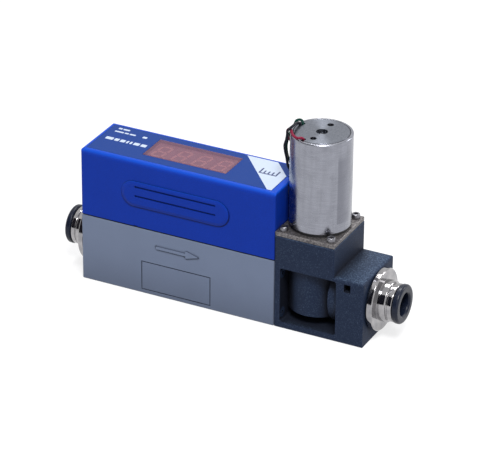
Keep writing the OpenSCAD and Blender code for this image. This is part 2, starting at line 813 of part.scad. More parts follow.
module valve_block() {
  color(block_black) difference() {
    union() {
      translate([block_x0, -half_w, 0])
        chamfer_box([tower_l, body_w, block_h], body_chamfer);
      outlet_step();
    }
    side_pockets();
    block_gas_ways();
    translate([valve_cx, 0, chamber_z]) cylinder(r = chamber_r, h = block_h);
    translate([valve_cx, 0, ledge_z]) cylinder(r = ledge_r, h = block_h);
    block_screw_places() {
      translate([0, 0, -over]) cylinder(r = block_screw_r + free_gap, h = block_wall + 2 * over);
      translate([0, 0, block_wall - block_screw_head_h]) cylinder(
        r1 = block_screw_r + thread_gap, r2 = block_screw_head_r + thread_gap, h = block_screw_head_h
      );
      translate([0, 0, block_wall - eps])
        cylinder(r = block_screw_head_r + thread_gap, h = over);
    }
    plate_screw_places() translate([0, 0, block_h - plate_screw_l])
      cylinder(r = plate_screw_r + thread_gap, h = plate_screw_l + over);
    on_front(block_x0 + slot_x, slot_z) translate([0, 0, -slot_d])
      cube([slot_w, slot_h, slot_d + over]);
  }
}

// Low outlet end with rounded upper edges; its inner end is buried in the tall part
module outlet_step() {
  l = block_l - tower_l + 4;
  translate([block_x1 - l, -half_w, 0]) intersection() {
    rotate([90, 0, 90]) linear_extrude(l) difference() {
      chamfer_rect([body_w, step_h + step_round], body_chamfer);
      step_corners(body_w);
    }
    translate([0, body_w, 0]) rotate([90, 0, 0]) linear_extrude(body_w)
      round_top_right(l, step_h, step_round);
    linear_extrude(step_h) chamfer_rect([l, body_w], body_chamfer);
  }
}

// What is cut off a profile of the given width so that its top corners are round
module step_corners(w) {
  translate([-over, step_h]) square([w + 2 * over, step_round + over]);
  for (m = [0, 1]) {
    translate([m * w, 0]) mirror([m, 0]) difference() {
      translate([-over, step_h - step_round]) square([step_round + over, step_round + over]);
      translate([step_round, step_h - step_round]) circle(r = step_round);
    }
  }
}

module round_top_right(l, h, r) {
  square([l, h - r]);
  square([l - r, h]);
  translate([l - r, h - r]) circle(r = r);
}

// The pocket on each side of the web, with the valve boss and the outlet boss left standing
module side_pockets() {
  depth = half_w - block_web / 2;
  difference() {
    for (m = [0, 1]) {
      mirror([0, m, 0]) translate([block_x0 + block_wall, -half_w - over, 0])
        translate([0, depth + over, 0]) rotate([90, 0, 0]) linear_extrude(depth + over)
          translate([0, block_floor])
            round_rect([pocket_end - block_wall, pocket_top - block_floor], pocket_round);
    }
    translate([valve_cx, 0, boss_z]) cylinder(r = boss_r, h = block_h);
    translate([block_x0 + outlet_boss_x, 0, port_z]) rotate([0, 90, 0])
      cylinder(r = outlet_boss_r, h = block_l);
  }
}

module block_gas_ways() {
  translate([block_x0 - over, 0, port_z]) rotate([0, 90, 0])
    cylinder(r = passage_bore_r, h = valve_x + riser_r + 0.6 + over);
  translate([valve_cx, 0, port_z]) cylinder(r = riser_r, h = chamber_z - port_z);
  translate([valve_cx, 0, seat_floor_z]) cylinder(r = seat_r + thread_gap, h = seat_l + over);
  translate([valve_cx + transfer_x, 0, port_z]) cylinder(r = transfer_r, h = chamber_z - port_z + over);
  translate([valve_cx + transfer_x - transfer_r, 0, port_z]) rotate([0, 90, 0])
    cylinder(r = riser_r, h = block_x1 - valve_cx - transfer_x);
  at_outlet() translate([0, 0, -block_port_depth])
    cylinder(r = port_r, h = block_port_depth + over);
}

module block_screws() {
  color(block_black) block_screw_places() difference() {
    union() {
      translate([0, 0, block_wall - block_screw_head_h]) cylinder(
        r1 = block_screw_r, r2 = block_screw_head_r, h = block_screw_head_h
      );
      translate([0, 0, block_wall - block_screw_l + block_screw_end])
        cylinder(r = block_screw_r, h = block_screw_l - block_screw_end - block_screw_head_h / 2);
    }
    translate([0, 0, block_wall - block_screw_hex_d])
      cylinder(r = block_screw_hex, h = block_screw_hex_d + over, $fn = 6);
  }
}

module valve_seat() {
  color(steel) translate([valve_cx, 0, seat_floor_z]) difference() {
    union() {
      cylinder(r = seat_r, h = seat_l);
      cylinder(r = nozzle_r, h = seat_l + nozzle_h);
    }
    translate([0, 0, -over]) cylinder(r = riser_r - 0.4, h = seat_l - 0.6 + over);
    cylinder(r = orifice_r, h = seat_l + nozzle_h + over);
  }
}

module chamber_seal() {
  color(black_rubber) translate([valve_cx, 0, ledge_z + chamber_seal_r])
    o_ring(chamber_seal_centre, chamber_seal_r - seal_squeeze);
}

module core_tube() {
  color(steel) translate([valve_cx, 0, 0]) {
    difference() {
      union() {
        translate([0, 0, block_h - tube_flange_t]) cylinder(r = tube_flange_r, h = tube_flange_t);
        translate([0, 0, block_h - tube_flange_t])
          cylinder(r = core_tube_r, h = bobbin_z1 - block_h + tube_flange_t);
      }
      translate([0, 0, block_h - tube_flange_t - over]) cylinder(r = guide_r, h = block_h + can_h);
    }
  }
}

module plunger() {
  color(steel) translate([valve_cx, 0, plunger_z]) difference() {
    cylinder(r = plunger_r, h = plunger_l);
    translate([0, 0, -over]) cylinder(r = seat_disc_r + thread_gap, h = seat_disc_t + over);
    translate([0, 0, plunger_l - spring_bore_d]) cylinder(r = spring_bore_r, h = spring_bore_d + over);
  }
}

module seat_disc() {
  color(black_rubber) translate([valve_cx, 0, plunger_z]) cylinder(r = seat_disc_r, h = seat_disc_t);
}

module return_spring() {
  steps = 14;
  turns = spring_turns;
  rise = spring_z1 - spring_z;
  path = [
    for (i = [0 : turns * steps])
      let (a = 360 * i / steps, h = rise * i / (turns * steps))
      [spring_r * cos(a), spring_r * sin(a), h]
  ];
  color(steel) translate([valve_cx, 0, spring_z]) swept_tube(path, spring_wire_r, 6, [1, 0, 0.2]);
}

module fixed_core() {
  color(steel) translate([valve_cx, 0, 0]) difference() {
    union() {
      translate([0, 0, core_z]) cylinder(r = core_r, h = disc_z - core_z);
      translate([0, 0, core_z]) cylinder(r = core_neck_r, h = disc_z - core_z + core_neck_l);
    }
    translate([0, 0, core_z - over]) cylinder(r = adjuster_r + thread_gap, h = can_h);
  }
}

module adjuster_screw() {
  color(steel) translate([valve_cx, 0, adjuster_z]) difference() {
    cylinder(r = adjuster_r, h = adjuster_z1 - adjuster_z);
    translate([0, 0, adjuster_z1 - adjuster_z - adjuster_hex_d])
      cylinder(r = adjuster_hex, h = adjuster_hex_d + over, $fn = 6);
  }
}

// ---- Solenoid ----

module clamp_plate() {
  color(steel) difference() {
    translate([block_x0, -plate_w / 2, block_h]) chamfer_box([plate_l, plate_w, plate_t], 0.2);
    translate([valve_cx, 0, 0]) cylinder(r = stack_hole_r, h = can_z1);
    plate_screw_places() cylinder(r = plate_screw_r + free_gap, h = can_z1);
  }
}

module plate_screws() {
  color(steel) plate_screw_places() {
    translate([0, 0, plate_z1]) difference() {
      union() {
        cylinder(r = plate_screw_head_r, h = plate_screw_head_h - plate_screw_edge);
        translate([0, 0, plate_screw_head_h - plate_screw_edge]) cylinder(
          r1 = plate_screw_head_r, r2 = plate_screw_head_r - plate_screw_edge, h = plate_screw_edge
        );
      }
      translate([0, 0, plate_screw_head_h - plate_screw_hex_d])
        cylinder(r = plate_screw_hex, h = plate_screw_head_h, $fn = 6);
    }
    translate([0, 0, block_h - plate_screw_l + 0.3])
      cylinder(r = plate_screw_r, h = plate_screw_l - 0.3 + plate_t + eps);
  }
}

module spacer_ring() {
  color(black_plastic) translate([valve_cx, 0, plate_z1]) sleeve(spacer_r, stack_hole_r, spacer_t);
}

module coil_can() {
  rim = 0.3;
  color(steel) translate([valve_cx, 0, can_z]) difference() {
    union() {
      cylinder(r1 = can_r - rim, r2 = can_r, h = rim);
      translate([0, 0, rim]) cylinder(r = can_r, h = can_h - 2 * rim);
      translate([0, 0, can_h - rim]) cylinder(r1 = can_r, r2 = can_r - rim, h = rim);
    }
    translate([0, 0, can_bottom]) cylinder(r = can_inner_r, h = can_h);
    translate([0, 0, -over]) cylinder(r = stack_hole_r, h = can_h);
  }
}

module end_disc() {
  rim = 0.25;
  color(steel) difference() {
    translate([valve_cx, 0, disc_z]) {
      cylinder(r = disc_r, h = disc_t - rim);
      translate([0, 0, disc_t - rim]) cylinder(r1 = disc_r, r2 = disc_r - rim, h = rim);
    }
    translate([valve_cx, 0, disc_z - over]) {
      cylinder(r = disc_hole_r, h = disc_t + 2 * over);
      cylinder(r = core_neck_r + thread_gap, h = core_neck_l + 0.1 + over);
      rotate([0, 0, spanner_turn]) for (x = [-1, 1]) {
        translate([x * spanner_pitch_r, 0, 0]) cylinder(r = spanner_hole_r, h = disc_t + 2 * over);
      }
    }
    for (p = [black_route[0], green_route[0], red_route[0]]) {
      translate([p[0], p[1], disc_z - over]) cylinder(r = lead_r + lead_hole_gap, h = disc_t + 2 * over);
    }
  }
}

module coil_bobbin() {
  color(black_plastic) translate([valve_cx, 0, bobbin_z]) difference() {
    union() {
      cylinder(r = bobbin_core_r, h = bobbin_z1 - bobbin_z);
      cylinder(r = bobbin_r, h = bobbin_flange_t);
      translate([0, 0, bobbin_z1 - bobbin_z - bobbin_flange_t]) cylinder(r = bobbin_r, h = bobbin_flange_t);
    }
    translate([0, 0, -over]) cylinder(r = stack_hole_r, h = can_h);
  }
}

module coil_winding() {
  color(copper) translate([valve_cx, 0, bobbin_z + bobbin_flange_t])
    sleeve(winding_r, bobbin_core_r, bobbin_z1 - bobbin_z - 2 * bobbin_flange_t);
}

module lead_red() {
  color("red") swept_tube(smooth_path(red_route, lead_steps - 1), lead_r, lead_sides);
}

module lead_black() {
  color("black") swept_tube(smooth_path(black_route, lead_steps - 1), lead_r, lead_sides);
}

module lead_green() {
  color("green") swept_tube(smooth_path(green_route, lead_steps - 1), lead_r, lead_sides);
}

// ---- Cover and display ----

module cover_screw_places() {
  for (x = cover_screw_x, y = [-1, 1]) translate([x, y * cover_screw_y, 0]) children();
}

module standoff_places() {
  for (x = standoff_x, y = [-1, 1]) translate([x, y * standoff_y, 0]) children();
}

module display_screw_places() {
  for (x = [-1, 1], y = [-1, 1]) {
    translate([lens_cx + x * display_screw_x, y * display_screw_y, 0]) children();
  }
}

module cover() {
  color(cover_blue) difference() {
    union() {
      difference() {
        cover_outside();
        cover_inside();
      }
      cover_bosses();
      for (m = [0, 1]) mirror([0, m, 0]) grip_pad();
    }
    for (m = [0, 1]) mirror([0, m, 0]) grip_grooves();
    shadow_gap();
    display_window();
    translate([flow_x0 + film_margin, -film_w() / 2, cover_z1 - film_t])
      cube([film_l(), film_w(), film_t + over]);
    translate([flow_x0 - over, -connector_w / 2 - free_gap, main_board_z1 - free_gap])
      cube([cover_wall + 2 * over, connector_w + 2 * free_gap, connector_h + 2 * free_gap]);
    translate([notch_x, notch_y[0], cover_z1 - notch_d])
      cube([block_x0 - notch_x + over, notch_y[1] - notch_y[0], notch_d + over]);
    on_front(flow_x0 + pry_x, flow_h) translate([0, -over, -pry_d])
      cube([pry_w, pry_h + over, pry_d + over]);
    cover_screw_places() translate([0, 0, flow_h - over])
      cylinder(r = cover_screw_r + thread_gap, h = cover_boss_h - cover_boss_cap + over);
    display_screw_places() translate([0, 0, module_z - over])
      cylinder(r = display_screw_r + thread_gap, h = pilot_d + over);
  }
}

function film_l() = flow_l - film_margin - film_end;
function film_w() = body_w - 2 * (cover_round + 0.2);

// Outside of the cover: round along its top edges, slightly eased at its ends
module cover_outside() {
  translate([flow_x0, -half_w, flow_h]) intersection() {
    rotate([90, 0, 90]) linear_extrude(flow_l) round_top(body_w, cover_h, cover_round);
    translate([0, body_w, 0]) rotate([90, 0, 0]) linear_extrude(body_w)
      round_top(flow_l, cover_h, cover_end_round);
    linear_extrude(cover_h) round_rect([flow_l, body_w], cover_end_round);
  }
}

module round_top(w, h, r) {
  square([w, h - r]);
  translate([r, 0]) square([w - 2 * r, h]);
  for (x = [r, w - r]) translate([x, h - r]) circle(r = r);
}

module cover_inside() {
  translate([flow_x0 + cover_wall, -half_w + cover_wall, flow_h - over])
    cube([flow_l - 2 * cover_wall, body_w - 2 * cover_wall, cover_h - cover_top + over]);
}

// Screw bosses low on the side walls and under the top
module cover_bosses() {
  cover_screw_places() translate([0, 0, flow_h]) cylinder(r = cover_boss_r, h = cover_boss_h);
  display_screw_places() translate([0, 0, module_z])
    cylinder(r = display_boss_r, h = cover_z1 - cover_top - module_z + 0.5);
}

// What is cut off round the lower edge, so that a dark line parts the cover from the body
module shadow_gap() {
  translate([flow_x0, -half_w, flow_h - over]) linear_extrude(seam_h + over) difference() {
    translate([-over, -over]) square([flow_l + 2 * over, body_w + 2 * over]);
    translate([seam_d, seam_d]) square([flow_l - 2 * seam_d, body_w - 2 * seam_d]);
  }
}

module grip_pad() {
  on_front(flow_x0 + pad_x + pad_l / 2, flow_h + pad_z) translate([0, 0, -0.5])
    linear_extrude(pad_proud + 0.5) stadium(pad_l, pad_h);
}

module grip_grooves() {
  for (z = [-1, 1]) {
    on_front(flow_x0 + pad_x + pad_l / 2, flow_h + pad_z + grip_rise + z * grip_pitch / 2)
      translate([0, 0, pad_proud - grip_d]) linear_extrude(grip_d + over) stadium(grip_l, grip_w);
  }
}

// Step for the lens and the opening below it for the display
module display_window() {
  translate([lens_cx, window_y, 0]) {
    translate([0, 0, lens_seat_z]) linear_extrude(over + lens_seat)
      square([lens_l + 2 * lens_gap, lens_w + 2 * lens_gap], center = true);
    translate([0, 0, module_z]) linear_extrude(lens_seat_z - module_z + over)
      square([module_l + 2 * lens_gap, module_w + 2 * lens_gap], center = true);
  }
}

module cover_screws() {
  color(steel) cover_screw_places() {
    translate([0, 0, cover_screw_recess - cover_screw_head_h]) difference() {
      cylinder(r = cover_screw_head_r, h = cover_screw_head_h);
      translate([0, 0, -over]) cylinder(r = cover_screw_hex, h = cover_screw_hex_d + over, $fn = 6);
    }
    translate([0, 0, cover_screw_recess - eps])
      cylinder(r = cover_screw_r, h = flow_h - cover_screw_recess + cover_boss_h - 2 * cover_boss_cap);
  }
}

module top_film() {
  color(film_blue) difference() {
    translate([flow_x0 + film_margin + 0.1, -film_w() / 2 + 0.1, cover_z1 - film_t])
      cube([film_l() - 0.2, film_w() - 0.2, film_t]);
    translate([lens_cx, window_y, 0]) linear_extrude(cover_z1 + over)
      square([lens_l + 2 * lens_gap, lens_w + 2 * lens_gap], center = true);
  }
}

module display_lens() {
  t = lens_seat + lens_proud;
  color([0.75, 0.55, 0.62, 0.4]) translate([lens_cx, window_y, lens_seat_z]) intersection() {
    translate([0, 0, t / 2]) cube([lens_l, lens_w, t], center = true);
    translate([-lens_l / 2, lens_w / 2, 0]) rotate([90, 0, 0]) linear_extrude(lens_w)
      bevel_top(lens_l, t, lens_bevel);
    translate([-lens_l / 2, -lens_w / 2, 0]) rotate([90, 0, 90]) linear_extrude(lens_l)
      bevel_top(lens_w, t, lens_bevel);
  }
}

module bevel_top(w, h, c) {
  polygon([[0, 0], [w, 0], [w, h - c], [w - c, h], [c, h], [0, h - c]]);
}

// Outline of one display bar with pointed ends, lying along x
function bar_outline(l, w) = [
  [0, 0], [w / 2, w / 2], [l - w / 2, w / 2], [l, 0], [l - w / 2, -w / 2], [w / 2, -w / 2]
];
function turn_up(p) = [for (q = p) [-q[1], q[0]]];
function shift(p, d) = [for (q = p) q + d];
function slanted(p) = [for (q = p) [q[0] + q[1] * tan(digit_slant), q[1]]];

// The seven bars of a digit, its first corner at the origin, before slanting
bar_w = digit_w - segment_w;
bar_h = (digit_h - segment_w) / 2;
function digit_bars() = let (w = segment_w, g = segment_gap, flat = bar_outline(bar_w - 2 * g, w),
  tall = turn_up(bar_outline(bar_h - 2 * g, w))) concat(
  [for (k = [0 : 2]) shift(flat, [w / 2 + g, w / 2 + k * bar_h])],
  [for (k = [0, 1], x = [0, 1]) shift(tall, [w / 2 + x * bar_w, w / 2 + g + k * bar_h])]
);

module display_bars(t) {
  for (d = [0 : digits - 1]) {
    x = (d - (digits - 1) / 2) * digit_pitch - digit_w / 2 + digit_shift;
    translate([x, window_y - digit_h / 2, 0]) {
      for (bar = digit_bars()) linear_extrude(t) polygon(slanted(bar));
      translate([digit_w + point_gap, segment_w / 2, 0]) cylinder(r = point_r, h = t, $fn = 24);
    }
  }
}

module display_module() {
  color([0.3, 0.2, 0.24]) difference() {
    translate([lens_cx - module_l / 2, window_y - module_w / 2, module_z])
      cube([module_l, module_w, module_h]);
    translate([lens_cx, 0, module_z1 - segment_d]) display_bars(segment_d + over);
  }
}

module display_segments() {
  color([0.85, 0.45, 0.4]) translate([lens_cx, 0, module_z1 - segment_d]) display_bars(segment_d);
}

// ---- Boards, connectors and their screws ----

module display_board() {
  color(board_green) difference() {
    translate([lens_cx - display_board_l / 2, -display_board_w / 2, display_board_z])
      cube([display_board_l, display_board_w, board_t]);
    display_screw_places() cylinder(r = display_screw_r + free_gap, h = cover_z1);
  }
}

module display_screws() {
  color(steel) display_screw_places() {
    translate([0, 0, display_board_z - display_screw_head_h]) difference() {
      cylinder(r = display_screw_head_r, h = display_screw_head_h);
      translate([0, 0, -over])
        cylinder(r = display_screw_hex, h = display_screw_hex_d + over, $fn = 6);
    }
    translate([0, 0, display_board_z - eps])
      cylinder(r = display_screw_r, h = board_t + pilot_d - 0.5);
  }
}

module main_board() {
  color(board_green) difference() {
    translate([main_board_x0, -main_board_w / 2, main_board_z])
      cube([main_board_x1 - main_board_x0, main_board_w, board_t]);
    standoff_places() cylinder(r = stud_r + free_gap, h = cover_z1);
  }
}

module board_standoffs() {
  color(brass_gold) standoff_places() difference() {
    union() {
      translate([0, 0, flow_h - stud_l]) cylinder(r = stud_r, h = stud_l + over);
      translate([0, 0, flow_h]) cylinder(r = standoff_r, h = standoff_h, $fn = 6);
    }
    translate([0, 0, main_board_z - board_screw_l])
      cylinder(r = stud_r + thread_gap, h = board_screw_l + over);
  }
}

module board_screws() {
  color(steel) standoff_places() {
    translate([0, 0, main_board_z1]) difference() {
      cylinder(r = board_screw_head_r, h = board_screw_head_h);
      translate([0, 0, board_screw_head_h - board_screw_hex_d])
        cylinder(r = board_screw_hex, h = board_screw_head_h, $fn = 6);
    }
    translate([0, 0, main_board_z1 - board_screw_l]) cylinder(r = stud_r, h = board_screw_l + eps);
  }
}

module controller_chip() {
  first = -(chip_pins - 1) * chip_pin_pitch / 2 - chip_pin_size[1] / 2;
  color(black_plastic) translate([chip_pos[0], chip_pos[1], main_board_z1]) {
    translate([-chip_size[0] / 2, -chip_size[1] / 2, chip_lift]) cube(chip_size);
    for (a = [0 : 90 : 270], i = [0 : chip_pins - 1]) {
      rotate([0, 0, a])
        translate([chip_size[0] / 2 - 0.1, first + i * chip_pin_pitch, 0]) cube(chip_pin_size);
    }
  }
}

module board_header() {
  color(black_plastic) translate([header_pos[0] - header_l / 2, header_pos[1] - header_w / 2, main_board_z1])
    cube([header_l, header_w, display_board_z - main_board_z1]);
}

module sensor_header() {
  z = sensor_floor_z + gasket_t + sensor_t;
  color(black_plastic) translate([sensor_x - sensor_header_l / 2, sensor_header_y, z])
    cube([sensor_header_l, sensor_header_w, main_board_z - z]);
}

module valve_plug() {
  color([0.85, 0.83, 0.76]) translate([plug_pos[0], plug_pos[1], main_board_z1 + plug_size[2] / 2])
    cube(plug_size, center = true);
}

module connector_housing() {
  inner_w = connector_w - 2 * connector_wall;
  inner_h = connector_h - 2 * connector_wall;
  color(black_plastic) difference() {
    translate([flow_x0, -connector_w / 2, main_board_z1]) cube([connector_d, connector_w, connector_h]);
    translate([flow_x0 - over, -inner_w / 2, main_board_z1 + connector_wall])
      cube([connector_d - connector_back + over, inner_w, inner_h]);
    translate([flow_x0 - over, -2.2, main_board_z1 + connector_h - connector_wall - over])
      cube([connector_d - connector_back + over, 4.4, connector_wall + 2 * over]);
    connector_pin_places() translate([0, 0, pin_l - connector_back - over])
      cube([pin_w, pin_w, 2 * (connector_back + over)], center = true);
  }
}

module connector_pin_places() {
  for (i = [0 : pins_in_row - 1], k = [-1, 1]) {
    translate([
      flow_x0 + connector_d - pin_l, (i - (pins_in_row - 1) / 2) * pin_pitch,
      main_board_z1 + connector_h / 2 + k * pin_pitch / 2
    ]) rotate([0, 90, 0]) children();
  }
}

module connector_pins() {
  color(brass_gold) connector_pin_places() translate([-pin_w / 2, -pin_w / 2, 0])
    cube([pin_w, pin_w, pin_l]);
}

// ---- Push-in fittings ----

module fitting_body() {
  c = fitting_chamfer;
  color(nickel) rotate_extrude() polygon([
    [gas_r, -shank_l], [shank_r - 0.5, -shank_l], [shank_r, -shank_l + 0.5],
    [shank_r, flange_seal_t], [flange_r - c, flange_seal_t], [flange_r, flange_seal_t + c],
    [flange_r, flange_s - c], [flange_r - c, flange_s], [shoulder_r, flange_s],
    [shoulder_r, shoulder_s - c], [shoulder_r - c, shoulder_s], [barrel_groove_r, shoulder_s],
    [barrel_groove_r, groove_s], [end_ring_r - 0.15, groove_s], [end_ring_r, groove_s + 0.15],
    [end_ring_r, barrel_s - c], [end_ring_r - c, barrel_s], [sleeve_bore_r, barrel_s],
    [sleeve_bore_r, snap_s], [cavity_r, snap_s], [cavity_r, ring_seat_s],
    [ring_pocket_r, ring_seat_s], [ring_pocket_r, ring_pocket_s], [seal_lip_r, ring_pocket_s],
    [seal_lip_r, seal_groove_s], [seal_groove_r, seal_groove_s], [seal_groove_r, bore_s],
    [bore_r, bore_s], [bore_r, -shank_l + tube_stop_t], [gas_r, -shank_l + tube_stop_t]
  ]);
}

module flange_seal() {
  color(black_rubber) sleeve(flange_seal_r, port_r, flange_seal_t);
}

// Toothed spring ring that grips the tube; its teeth lean the way the tube goes in
module grab_ring() {
  color(steel) difference() {
    rotate_extrude() polygon([
      [ring_rim_r, ring_seat_s], [ring_rim_r, ring_seat_s + ring_t],
      [ring_pocket_r - 0.25, ring_seat_s + ring_t], [bore_r + 0.15, ring_pocket_s + 0.5],
      [bore_r + 0.4, ring_pocket_s + 0.35], [ring_pocket_r - 0.1, ring_seat_s]
    ]);
    for (i = [0 : ring_teeth - 1]) {
      rotate([0, 0, i * 360 / ring_teeth]) translate([0, -ring_slot_w / 2, ring_pocket_s])
        cube([ring_pocket_r - 0.2, ring_slot_w, 4]);
    }
  }
}

module tube_seal() {
  color(black_rubber) translate([0, 0, seal_groove_s - seal_groove_l / 2])
    o_ring(bore_r + tube_seal_gap + tube_seal_r, tube_seal_r);
}

module release_collar() {
  c = 0.35;
  top = rim_s + collar_t;
  color(black_plastic) rotate_extrude() polygon([
    [bore_r, sleeve_end_s], [bead_r - 0.2, sleeve_end_s], [bead_r, sleeve_end_s + 0.2],
    [bead_r, sleeve_end_s + bead_l], [sleeve_r, sleeve_end_s + bead_l], [sleeve_r, rim_s],
    [collar_r - c, rim_s], [collar_r, rim_s + c], [collar_r, top - c - 0.2],
    [collar_r - c - 0.2, top], [bore_r + 0.5, top], [bore_r, top - 0.6]
  ]);
}

module inlet_fitting() {
  at_inlet() fitting_body();
}

module outlet_fitting() {
  at_outlet() fitting_body();
}

module inlet_flange_seal() {
  at_inlet() flange_seal();
}

module outlet_flange_seal() {
  at_outlet() flange_seal();
}

module inlet_grab_ring() {
  at_inlet() grab_ring();
}

module outlet_grab_ring() {
  at_outlet() grab_ring();
}

module inlet_tube_seal() {
  at_inlet() tube_seal();
}

module outlet_tube_seal() {
  at_outlet() tube_seal();
}

module inlet_collar() {
  at_inlet() release_collar();
}

module outlet_collar() {
  at_outlet() release_collar();
}

flow_body();
inlet_screen();
flow_element();
sensor_gasket();
sensor_board();
sensor_chip();
block_seal();
valve_block();
block_screws();
valve_seat();
chamber_seal();
core_tube();
plunger();
seat_disc();
return_spring();
fixed_core();
adjuster_screw();
clamp_plate();
plate_screws();
spacer_ring();
coil_can();
end_disc();
coil_bobbin();
coil_winding();
lead_red();
lead_black();
lead_green();
cover();
cover_screws();
top_film();
display_lens();
display_module();
display_segments();
display_board();
display_screws();
main_board();
board_standoffs();
board_screws();
controller_chip();
board_header();
sensor_header();
valve_plug();
connector_housing();
connector_pins();
inlet_fitting();
inlet_flange_seal();
inlet_grab_ring();
inlet_tube_seal();
inlet_collar();
outlet_fitting();
outlet_flange_seal();
outlet_grab_ring();
outlet_tube_seal();
outlet_collar();
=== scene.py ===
"""Looks of a compact thermal mass flow controller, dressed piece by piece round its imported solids.

Sizes are in millimetres in each section and become metres where a mesh is made.
"""

import bpy
import numpy as np
from mathutils import Matrix, Vector


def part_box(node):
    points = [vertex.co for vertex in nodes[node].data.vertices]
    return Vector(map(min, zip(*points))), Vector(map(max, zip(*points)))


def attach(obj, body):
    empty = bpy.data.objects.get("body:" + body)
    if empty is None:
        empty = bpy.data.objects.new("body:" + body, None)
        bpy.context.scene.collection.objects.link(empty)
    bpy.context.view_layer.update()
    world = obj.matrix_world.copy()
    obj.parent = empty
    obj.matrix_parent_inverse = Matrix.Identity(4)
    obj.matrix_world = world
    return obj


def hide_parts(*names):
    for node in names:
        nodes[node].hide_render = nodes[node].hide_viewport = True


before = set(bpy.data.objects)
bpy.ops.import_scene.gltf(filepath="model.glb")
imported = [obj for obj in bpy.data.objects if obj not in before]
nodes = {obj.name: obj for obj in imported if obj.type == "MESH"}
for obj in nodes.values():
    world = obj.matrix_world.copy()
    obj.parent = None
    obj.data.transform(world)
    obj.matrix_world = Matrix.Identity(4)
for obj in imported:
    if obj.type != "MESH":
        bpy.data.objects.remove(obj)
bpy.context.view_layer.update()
MM = 0.001

# ---- Camera -------------------------------------------------------------------------------
# A long lens stands about a metre away, above and to the right of the front face.
# It looks down at the display and along to the outlet end, so that front, top and end all show.

VIEW_AZIMUTH = 26.644
VIEW_ELEVATION = 27.582
VIEW_ROLL = 0.505
VIEW_DISTANCE = 1113.5
VIEW_TARGET = np.array([-0.01, -2.91, 19.19])
VIEW_OFFSET = (-3.88, -10.05)
FRAME_WIDTH = 486
FOCAL_LENGTH = 3140.4
FILM_BACK = 36.0
FAR_LIMIT = 20.0

azimuth, elevation, roll = np.radians([VIEW_AZIMUTH, VIEW_ELEVATION, VIEW_ROLL])
view_back = np.array([
    np.sin(azimuth) * np.cos(elevation), -np.cos(azimuth) * np.cos(elevation), np.sin(elevation)
])
level_right = np.array([np.cos(azimuth), np.sin(azimuth), 0.0])
level_up = np.cross(view_back, level_right)
view_right = np.cos(roll) * level_right + np.sin(roll) * level_up
view_up = np.cos(roll) * level_up - np.sin(roll) * level_right
view_place = (
    VIEW_TARGET + VIEW_DISTANCE * view_back
    - VIEW_OFFSET[0] * view_right - VIEW_OFFSET[1] * view_up
)

camera = bpy.data.objects.new("camera", bpy.data.cameras.new("camera"))
bpy.context.collection.objects.link(camera)
turn = np.eye(4)
turn[:3, :3] = np.stack([view_right, view_up, view_back], axis=1)
turn[:3, 3] = view_place * MM
camera.matrix_world = Matrix(turn.tolist())
camera.data.sensor_width = FILM_BACK
camera.data.lens = FOCAL_LENGTH / FRAME_WIDTH * FILM_BACK
camera.data.clip_end = FAR_LIMIT
bpy.context.scene.camera = camera
bpy.context.scene.view_settings.view_transform = "Standard"

# ---- Studio -------------------------------------------------------------------------------
# A white table and white surroundings. The main soft box hangs high over the front right, a weak
# one fills from the left, and one behind draws the fan of light on the turned steel. A black card
# that only reflections see gives the bright metal its dark bands.

FLOOR_SPAN = 6.0
FLOOR_DROP = 0.00003
FLOOR_COLOUR = (0.28, 0.28, 0.29, 1.0)
FLOOR_GLOW = 0.75
WORLD_LEVEL = 0.28
SOFT_BOXES = [
    # name, place (m), width and height (m), power (W), colour
    ("key_box", (0.42, -0.62, 1.15), (0.45, 0.35), 16.0, (1.0, 0.99, 0.97)),
    ("fill_box", (-0.90, -0.90, 0.50), (0.6, 0.6), 2.5, (0.95, 0.97, 1.0)),
    ("back_box", (-0.25, 0.50, 1.15), (0.3, 0.3), 6.0, (1.0, 1.0, 1.0)),
    ("rim_box", (0.75, 0.85, 0.45), (0.25, 0.6), 2.5, (1.0, 1.0, 1.0)),
]
LIGHTS_AIM = Vector((0.0, 0.0, 0.03))
CARD_PLACE = (-0.34, -0.78, 0.56)
CARD_SIZE = (1.5, 1.08)
CARD_BLACK = (0.02, 0.02, 0.03, 1.0)
WHITE = (1.0, 1.0, 1.0, 1.0)
ONE_FACE = [(0, 1, 2, 3)]


def seen_directly(tree):
    """1 where a camera, mirror or glass ray meets the surface, and 0 where light is gathered."""
    path = tree.nodes.new("ShaderNodeLightPath")
    total = path.outputs["Is Camera Ray"]
    for ray in ("Is Glossy Ray", "Is Transmission Ray"):
        add = tree.nodes.new("ShaderNodeMath")
        add.operation = "MAXIMUM"
        tree.links.new(total, add.inputs[0])
        tree.links.new(path.outputs[ray], add.inputs[1])
        total = add.outputs[0]
    return total


world = bpy.data.worlds.new("white_surroundings")
bpy.context.scene.world = world
world.use_nodes = True
sky = world.node_tree.nodes["Background"]
sky.inputs["Color"].default_value = WHITE
level = world.node_tree.nodes.new("ShaderNodeMapRange")
level.inputs["To Min"].default_value = WORLD_LEVEL
level.inputs["To Max"].default_value = 1.0
world.node_tree.links.new(seen_directly(world.node_tree), level.inputs["Value"])
world.node_tree.links.new(level.outputs["Result"], sky.inputs["Strength"])

